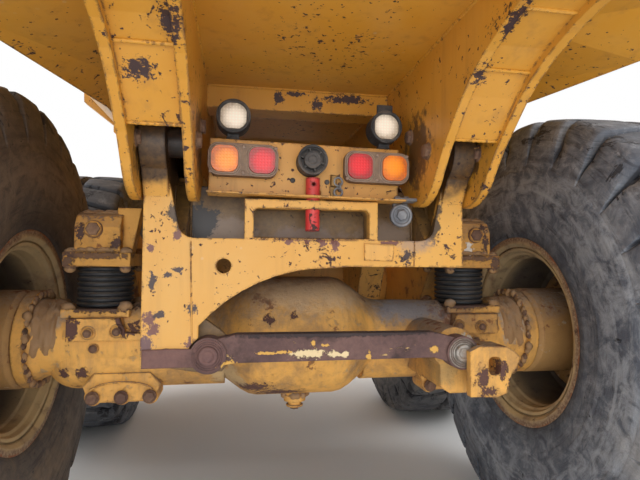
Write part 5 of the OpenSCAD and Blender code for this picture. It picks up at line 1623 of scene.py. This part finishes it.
@dataclass(frozen=True)
class Studio:
    """Pale floor, white surroundings, soft lamps and the photograph's camera."""

    layout: Layout
    eye: tuple[float, float, float] = (-0.2008, -1.7349, 0.2657)
    yaw: float = math.radians(9.69)
    pitch: float = math.radians(2.38)
    roll: float = math.radians(0.41)
    lens: float = 27.0

    def camera(self) -> None:
        """Sets the camera from its place, yaw to the right, pitch up and roll."""
        ahead = Vector((math.sin(self.yaw) * math.cos(self.pitch),
                        math.cos(self.yaw) * math.cos(self.pitch), math.sin(self.pitch)))
        level = Vector((math.cos(self.yaw), -math.sin(self.yaw), 0))
        above = level.cross(ahead)
        right = level * math.cos(self.roll) + above * math.sin(self.roll)
        up = above * math.cos(self.roll) - level * math.sin(self.roll)
        data = bpy.data.cameras.new("camera")
        data.lens = self.lens
        data.sensor_width = 36.0
        data.clip_start = 0.05
        data.clip_end = 200.0
        camera = bpy.data.objects.new("camera", data)
        bpy.context.scene.collection.objects.link(camera)
        turned = Matrix((right, up, -ahead)).transposed().to_4x4()
        camera.matrix_world = Matrix.Translation(self.layout.at(*self.eye)) @ turned
        bpy.context.scene.camera = camera

    def floor(self) -> None:
        """Lays a pale floor under the tyres."""
        level = self.layout.rear.z - self.layout.tyre_radius
        reach = 40.0
        corners = [(x, y, level) for y in (-reach, reach) for x in (-reach, reach)]
        shade = Shade("floor")
        pale = shade.mix((0.80, 0.80, 0.79), (0.84, 0.84, 0.83), shade.noise(0.8, 3.0))
        mesh = bpy.data.meshes.new("floor")
        mesh.from_pydata(corners, [], [(0, 1, 3, 2)])
        mesh.materials.append(shade.set(Base_Color=pale, Roughness=0.9))
        floor = bpy.data.objects.new("floor", mesh)
        bpy.context.scene.collection.objects.link(floor)

    def world(self, strength: float = 0.9) -> None:
        """Gives even light, and white where the camera or a reflection looks past the object."""
        world = bpy.data.worlds.new("world")
        bpy.context.scene.world = world
        world.use_nodes = True
        nodes = Nodes(world.node_tree)
        camera, glossy, through = (
            nodes.node("ShaderNodeLightPath", {}, {}, f"Is {kind} Ray")
            for kind in ("Camera", "Glossy", "Transmission"))
        seen = nodes.node("ShaderNodeMath", {"use_clamp": True}, {0: camera + glossy, 1: through})
        power = nodes.node("ShaderNodeMapRange", {},
                           {"Value": seen, "To Min": strength, "To Max": 1.0})
        background = nodes.first("BACKGROUND")
        nodes.feed(background.inputs["Color"], (1.0, 1.0, 1.0))
        nodes.feed(background.inputs["Strength"], power)

    def lamp(self, name: str, place: Sequence[float], target: Sequence[float], size: float,
             watts: float) -> None:
        """Hangs a square soft lamp that looks at a target."""
        data = bpy.data.lights.new(name, "AREA")
        data.energy = watts
        data.size = size
        lamp = bpy.data.objects.new(name, data)
        bpy.context.scene.collection.objects.link(lamp)
        spot = Vector(self.layout.at(*place))
        aim = Vector(self.layout.at(*target)) - spot
        turn = aim.to_track_quat("-Z", "Y").to_matrix().to_4x4()
        lamp.matrix_world = Matrix.Translation(spot) @ turn

    def light(self) -> None:
        """Hangs the lamps: one behind the camera, one low, one on each side, one ahead."""
        for lamp in (("lamp_tail", (-2.5, -7.5, 2.6), (0.0, 0.0, 0.4), 4.5, 30),
                     ("lamp_low", (-0.6, -5.0, 0.0), (0.5, 0.0, 0.2), 3.4, 110),
                     ("lamp_right", (7.5, -2.5, 5.0), (0.5, 1.0, 0.3), 4.5, 400),
                     ("lamp_left", (-8.0, 3.0, 4.5), (0.0, 1.5, 0.3), 5.0, 300),
                     ("lamp_front", (2.0, 11.0, 5.0), (0.0, 3.0, 0.5), 5.0, 240)):
            self.lamp(*lamp)

    def build(self) -> None:
        """Makes the whole stage and sets the plain view transform."""
        self.camera()
        self.floor()
        self.world()
        self.light()
        bpy.context.scene.view_settings.view_transform = "Standard"


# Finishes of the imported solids

@dataclass(frozen=True)
class Marks:
    """Patches of painted shade, rust, grease and dust, where the photograph has them."""

    layout: Layout

    def spot(self, x: float, y: float, z: float, sx: float, sy: float, sz: float,
             *look: object) -> Spot:
        """A patch whose place is written about the rear axle's centre.

        Args:
            x: place to the right.
            y: place ahead.
            z: place above.
            sx: half its width.
            sy: half its depth.
            sz: half its height.
            look: its colour and what follows the colour in a Spot.

        Returns:
            The patch.
        """
        return Spot(self.layout.at(x, y, z), (sx, sy, sz), *look)

    def end_plate(self) -> tuple[Spot, ...]:
        """Dark patches of grease with painted shade, dust and worn patches on the frame's end,
        where the photograph has them.
        """
        dark, brown = paint(62, 44, 42), paint(112, 70, 60)
        dust, near_black = paint(140, 120, 104), paint(30, 27, 30)
        y = END_FACE
        places = [
            (-0.420, 0.205, 0.010, 0.022, dark), (-0.384, 0.222, 0.014, 0.008, dark),
            (-0.358, 0.236, 0.014, 0.010, dark), (-0.318, 0.128, 0.014, 0.016, dark),
            (-0.320, 0.041, 0.016, 0.017, brown), (-0.425, 0.107, 0.016, 0.016, brown),
            (-0.416, 0.083, 0.014, 0.018, brown), (-0.400, 0.118, 0.014, 0.010, dark),
            (-0.426, 0.294, 0.011, 0.011, brown), (-0.361, 0.327, 0.010, 0.016, brown),
            (0.278, 0.278, 0.018, 0.018, dark), (-0.057, 0.322, 0.020, 0.014, brown),
            (-0.013, 0.324, 0.010, 0.012, brown), (0.029, 0.320, 0.012, 0.020, brown),
            (0.069, 0.314, 0.014, 0.026, brown), (0.225, 0.315, 0.030, 0.006, brown),
            (-0.433, 0.040, 0.018, 0.026, paint(104, 74, 74)), (-0.300, -0.010, 0.03, 0.02, brown)]
        flat = [self.spot(x, y, z, sx, 0.03, sz, colour) for x, z, sx, sz, colour in places]
        broad = [
            self.spot(-0.235, -0.29, 0.345, 0.11, 0.05, 0.055, dust, 0.75, 0.5, 1.5),
            self.spot(0.255, -0.29, 0.345, 0.11, 0.05, 0.055, dust, 0.7, 0.5, 1.5),
            self.spot(0.0, -0.33, 0.335, 0.17, 0.09, 0.045, paint(128, 108, 98), 0.7, 0.5, 1.5),
            # near-black tops of the towers: grease with painted shade
            self.spot(-0.315, -0.29, 0.375, 0.050, 0.04, 0.055, near_black, 0.95, 0.2, 3.5),
            self.spot(0.345, -0.42, 0.375, 0.035, 0.04, 0.08, near_black, 0.9, 0.25, 3.0),
            self.spot(-0.345, -0.42, 0.395, 0.040, 0.04, 0.07, near_black, 0.9, 0.25, 3.0),
            self.spot(0.31, -0.42, 0.315, 0.07, 0.03, 0.035, paint(150, 128, 112), 0.7, 0.6, 2.0)]
        return tuple(broad + flat)

    def keels(self) -> tuple[Spot, ...]:
        """Grease with painted shade and worn paint round the hinge pins, and bare patches on the
        arms.
        """
        grease, dark = paint(66, 46, 36), paint(62, 44, 44)
        # dark patches round the hinge pins: grease with painted shade between the keels
        round_pins = [self.spot(s * x, *HINGE, 0.05, 0.13, 0.12, grease, 0.85, 0.4, 2.5)
                      for s in (-1, 1) for x in (0.320, 0.465)]
        bare = [self.spot(*place, dark) for place in (
            (0.330, -0.88, 0.748, 0.02, 0.07, 0.03), (0.332, -0.74, 0.69, 0.02, 0.045, 0.022),
            (-0.332, -0.80, 0.72, 0.02, 0.06, 0.03), (-0.332, -0.98, 0.78, 0.02, 0.05, 0.025),
            (0.332, -1.15, 0.80, 0.02, 0.04, 0.03), (-0.41, -0.70, 0.66, 0.03, 0.03, 0.02),
            (0.16, -0.14, 0.818, 0.075, 0.05, 0.014), (0.06, -0.14, 0.795, 0.020, 0.05, 0.018),
            (-0.02, -0.14, 0.826, 0.035, 0.05, 0.008),
            (-0.075, -0.14, 0.81, 0.016, 0.05, 0.020))]
        return tuple(round_pins + bare)

    def castings(self) -> tuple[Spot, ...]:
        """Rusty crusts on the springs' seats, dust on the arms, rust on bowl and bracket."""
        crust, rusty = paint(84, 62, 56), paint(96, 66, 58)
        grey, bluish, white = paint(160, 152, 142), paint(134, 132, 137), paint(226, 216, 204)
        rows = []
        for s in (-1, 1):
            rows += [(s * 0.645, -0.105, 0.276, 0.13, 0.20, 0.012, crust, 0.85, 0.3, 4.0),
                     (s * 0.73, -0.105, 0.256, 0.020, 0.04, 0.024, crust, 0.9, 0.2, 4.0),
                     (s * 0.62, -0.105, 0.108, 0.13, 0.14, 0.016, crust, 0.95, 0.3, 4.0)]
        rows += [
            (-0.535, -0.13, 0.060, 0.032, 0.03, 0.034, rusty),
            (-0.705, -0.13, 0.045, 0.022, 0.04, 0.036, rusty),
            (-0.680, -0.10, -0.098, 0.018, 0.08, 0.016, rusty),
            (-0.735, -0.10, -0.098, 0.014, 0.08, 0.016, rusty),
            (-0.150, -0.13, -0.150, 0.060, 0.08, 0.016, rusty),
            (-0.060, -0.13, -0.180, 0.070, 0.10, 0.014, rusty),
            (-0.10, -0.20, 0.075, 0.016, 0.04, 0.016, rusty),
            (-0.02, -0.20, 0.085, 0.010, 0.04, 0.014, rusty),
            (-0.645, -0.09, 0.404, 0.080, 0.02, 0.012, paint(140, 114, 96)),
            (-0.700, -0.09, 0.350, 0.014, 0.02, 0.030, crust),
            (-0.59, -0.09, 0.315, 0.016, 0.02, 0.022, crust),
            (0.700, -0.09, 0.395, 0.030, 0.02, 0.018, crust),
            (0.635, -0.09, 0.307, 0.018, 0.02, 0.016, white),
            (0.70, -0.09, 0.33, 0.012, 0.02, 0.030, crust),
            (0.49, -0.45, -0.065, 0.020, 0.05, 0.032, rusty),
            (0.505, -0.45, -0.105, 0.024, 0.05, 0.014, rusty),
            (0.55, -0.45, -0.045, 0.016, 0.04, 0.028, rusty),
            (0.575, -0.45, -0.085, 0.014, 0.04, 0.014, rusty),
            (0.485, -0.43, 0.040, 0.045, 0.06, 0.016, paint(204, 192, 176)),
            (0.635, -0.09, 0.322, 0.014, 0.02, 0.012, white),
            (0.40, -0.06, 0.090, 0.17, 0.13, 0.060, bluish, 0.85, 0.6, 2.5),
            (0.79, -0.06, 0.050, 0.060, 0.14, 0.100, grey, 0.75, 0.5, 3.0),
            (0.06, -0.12, 0.150, 0.26, 0.13, 0.080, paint(204, 174, 138), 0.75, 0.7, 1.5),
            (-0.79, -0.06, 0.080, 0.060, 0.14, 0.070, grey, 0.6, 0.5, 3.0),
            (-0.230, -0.10, -0.110, 0.080, 0.12, 0.050, paint(196, 170, 128), 0.7, 0.5, 3.0),
            (0.42, -0.33, -0.060, 0.050, 0.12, 0.060, paint(170, 142, 92), 0.6, 0.5, 2.0)]
        return tuple(self.spot(*row) for row in rows)

    def rods(self) -> tuple[Spot, ...]:
        """Flakes of old paint on the cross rod and the dirt along its top edge."""
        pale, cream = paint(226, 204, 160), paint(214, 166, 84)
        y = -0.418
        made = [self.spot(0.08, y, 0.060, 0.33, 0.05, 0.010, paint(52, 44, 46), 0.9, 0.4, 3.0)]
        for x, z, sx, sz, colour in (
                (-0.010, 0.008, 0.045, 0.012, pale), (0.070, 0.006, 0.018, 0.009, pale),
                (0.098, 0.003, 0.012, 0.008, pale), (-0.120, 0.012, 0.030, 0.004, cream),
                (-0.075, 0.014, 0.020, 0.004, cream), (0.008, 0.036, 0.008, 0.012, cream),
                (0.165, -0.006, 0.007, 0.014, cream), (0.360, 0.010, 0.012, 0.010, cream),
                (-0.222, -0.018, 0.026, 0.012, cream), (0.040, 0.030, 0.012, 0.004, cream)):
            made.append(self.spot(x, y, z, sx, 0.04, sz, colour, 0.95, 0.10, 4.0))
        return tuple(made)


@dataclass
class Dresser:
    """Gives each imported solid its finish."""

    nodes: dict[str, bpy.types.Object]
    layout: Layout
    made: dict[str, bpy.types.Material] = field(default_factory=dict)
    looks: dict[str, object] = field(init=False)

    def __post_init__(self) -> None:
        """Lists the finishes once."""
        self.looks = self.finishes()

    def lamp_centres(self, node: str) -> tuple[tuple[float, float], ...]:
        """Centres in x and z of the two round lenses of a node, at the ends of its box."""
        low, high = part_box(node)
        half = (high.z - low.z) / 2
        return ((low.x + half, (low.z + high.z) / 2), (high.x - half, (low.z + high.z) / 2))

    def finishes(self) -> dict[str, object]:
        """Lists the finishes by name."""
        amber, red = self.lamp_centres("amber_lamps"), self.lamp_centres("red_lamps")
        white = self.lamp_centres("work_lenses")
        # where the painted shade inside the frame starts, and the height of the dark tops of grease
        # and painted shade
        deep = self.layout.at(0, -0.398, 0)[1]
        high = self.layout.at(0, 0, 0.435)[2]
        marks = Marks(self.layout)
        caked = marks.castings()
        return {
            "frame": WornPaint("frame_paint", paint(210, 154, 68), paint(216, 168, 94),
                               0.55, 0.32, 0.35, painted_shade_deep=deep),
            "end": WornPaint("end_paint", paint(206, 150, 60), paint(214, 164, 82), 0.55, 0.22,
                             0.16, spots=marks.end_plate(), painted_shade_deep=deep, grease_and_shade_high=high),
            "body": WornPaint("body_paint", paint(208, 147, 42), paint(212, 158, 70), 0.42, 0.34,
                              0.22, gloss=0.36),
            "keel": WornPaint("keel_paint", paint(202, 142, 44), paint(210, 154, 66), 0.62, 0.20,
                              0.22, gloss=0.36, spots=marks.keels()),
            "bolt": RustyIron("bolt_rust", paint(92, 66, 56), paint(150, 118, 90),
                              paint(202, 156, 84), 0.5),
            "mud": CakedPaint("dried_mud", paint(150, 120, 88), 1.0, 0.35,
                              pale=paint(196, 172, 138)),
            "foot": RustyIron("foot_rust", paint(96, 70, 70), paint(124, 92, 84),
                              paint(206, 164, 104), 0.15),
            "grey_steel": Plain("grey_steel", paint(104, 106, 112), paint(146, 146, 148), 0.45, 0.3,
                                0.4),
            "bright": Plain("worn_bush", paint(176, 172, 166), paint(120, 108, 98), 0.34, 0.2, 0.7),
            "brass": Plain("old_brass", paint(176, 140, 72), paint(120, 92, 56), 0.45, 0.3, 0.5),
            "bezel": Plain("lamp_bezel", paint(134, 112, 98), paint(156, 136, 118), 0.5, 0.4),
            "bar": WornPaint("bar_paint", paint(203, 145, 63), paint(207, 159, 85), 0.55, 0.35,
                             0.35),
            "axle": CakedPaint("axle_paint", paint(238, 180, 92), 0.7, 0.55, settled=0.9,
                               streaks=0.3, spots=caked),
            "beam": CakedPaint("beam_paint", paint(214, 158, 72), 0.45, 0.75, spots=caked),
            "rod": RustyIron("rod_rust", left=0.2, spots=marks.rods()),
            "hub": CakedPaint("hub_paint", paint(176, 138, 86), 0.9, 0.7, pale=paint(196, 184, 164),
                              dark=paint(78, 56, 48), settled=0.8),
            "bellows": Plain("spring_rubber", paint(30, 32, 36), paint(46, 47, 52), 0.55, 0.35),
            "pads": Plain("pad_rubber", paint(34, 34, 36), paint(60, 56, 52), 0.8, 0.4),
            "grease": Plain("greased_steel", paint(40, 34, 32), paint(92, 66, 48), 0.45, 0.25),
            "housing": Plain("lamp_housing", paint(112, 92, 78), paint(140, 118, 96), 0.6, 0.4),
            "black": Plain("black_plastic", paint(50, 49, 50), paint(92, 87, 83), 0.6, 0.75),
            "chrome": Plain("polished_rod", (0.78, 0.79, 0.80), (0.70, 0.71, 0.73), 0.14, 0.05,
                            1.0, 0.0002),
            "pin": WornPaint("red_paint", paint(196, 44, 46), paint(206, 72, 66), 0.75, 0.3, 0.2,
                             rust=paint(92, 50, 42)),
            "amber": LampLens("amber_lens", paint(206, 96, 4), paint(246, 148, 16), amber, 0.036),
            "red": LampLens("red_lens", paint(150, 6, 20), paint(222, 22, 34), red, 0.036),
            "white": LampLens("clear_lens", paint(176, 160, 138), paint(250, 240, 222), white,
                              0.038),
        }

    def finish_of(self, node: str) -> str:
        """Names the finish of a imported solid."""
        exact = {
            "walking_beams": "beam", "rear_axle": "axle", "middle_axle": "axle",
            "frame_end": "end", "body_keels": "keel",
            "panhard_rods": "rod", "torque_rods": "rod", "prop_shafts": "rod",
            "rubber_springs": "bellows", "rest_pads": "pads", "hoist_pins": "grease",
            "hinge_pins": "grease", "light_bar": "bar", "lamp_housings": "housing",
            "amber_lamps": "amber", "red_lamps": "red", "work_lamps": "black",
            "work_lenses": "white", "reversing_alarm": "black", "lock_pin": "pin"}
        starts = {"hub_": "hub", "body_": "body", "hoist_barrel": "frame", "hoist_rod": "chrome"}
        if node in exact:
            return exact[node]
        return next((kind for start, kind in starts.items() if node.startswith(start)), "frame")

    def material(self, kind: str) -> bpy.types.Material:
        """Makes a finish once and keeps it."""
        if kind not in self.made:
            self.made[kind] = self.looks[kind].make()
        return self.made[kind]

    def wheel_centre(self, node: str) -> Place:
        """Centre of the wheel that a node belongs to."""
        axle = self.layout.rear if "rear" in node else self.layout.middle
        side = -1 if node.endswith("left") else 1
        return (side * self.layout.half_track, axle.y, axle.z)

    def dress(self) -> None:
        """Puts each finish on its solids."""
        for name, piece in self.nodes.items():
            if name.startswith("tyre_"):
                continue
            if name.startswith("rim_"):
                finish = RimPaint(name + "_paint", self.wheel_centre(name)).make()
            else:
                finish = self.material(self.finish_of(name))
            piece.data.materials.clear()
            piece.data.materials.append(finish)
            LOG.info("%s finished in %s", name, finish.name)

    def tyres(self) -> None:
        """Builds the four tyres, each with its own tint, partly painted reflection, and dirt."""
        reflection_tints_and_dirt = {
            # bluish tints of the right rear and middle left tyres are painted sky reflection; the
            # rear left one's brown is painted bounce light from the yellow paint, with dust
            "rear_left": (paint(84, 76, 70), paint(124, 110, 96), paint(140, 118, 94), 0.5),
            "rear_right": (paint(80, 86, 98), paint(158, 164, 172), paint(160, 148, 130), 0.28),
            "middle_left": (paint(76, 79, 86), paint(122, 126, 133), paint(142, 130, 112), 0.3),
            "middle_right": (paint(74, 74, 78), paint(118, 116, 114), paint(140, 122, 100), 0.42)}
        for seed, (where, (base, scuff, dirt, dirty)) in enumerate(reflection_tints_and_dirt.items(), 3):
            node = "tyre_" + where
            centre = self.wheel_centre(node)
            side = Side.LEFT if where.endswith("left") else Side.RIGHT
            rubber = TyreRubber(node + "_rubber", centre, base, scuff, dirt, dirty,
                                self.layout.tyre_half).make()
            tyre = Tyre(Vector(centre), side, self.layout.tyre_radius, self.layout.tyre_half, seed)
            tyre.build("dressed_" + node, "wheel_" + where, rubber)
            WheelTrim(Vector(centre), side).build("nuts_" + where, "wheel_" + where,
                                                  self.material("hub"))

    def assemblies(self) -> None:
        """Dresses the sub-assemblies one after the other."""
        axles = {"rear": AxlePlace(self.layout.rear, 1),
                 "middle": AxlePlace(self.layout.middle, -1)}
        for seed, (name, place) in enumerate(axles.items()):
            AxleDress(name + "_axle", place).build(self, 11 + 100 * seed)
            SpringDress(name + "_springs", place).build(self, 23 + 100 * seed)
        CrossRodDress(axles["rear"], "rear_rod", (-0.275, 0.010)).build(self)
        CrossRodDress(axles["middle"], "middle_rod", (-0.397, -0.155), (0.445, -0.165)).build(self)
        TailEnd(self.layout).build(self)
        LightBarDress(self.layout).build(self)
        BodyDress(self.layout).build(self)
        ShaftDress(self.layout).build(self)


def main() -> None:
    """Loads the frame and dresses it."""
    logging.basicConfig(level=logging.INFO, format="%(name)s %(message)s")
    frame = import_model()
    layout = Layout.read(frame["joints"])
    Studio(layout).build()
    dresser = Dresser(frame["nodes"], layout)
    dresser.dress()
    dresser.tyres()
    dresser.assemblies()


if __name__ == "__main__":
    main()
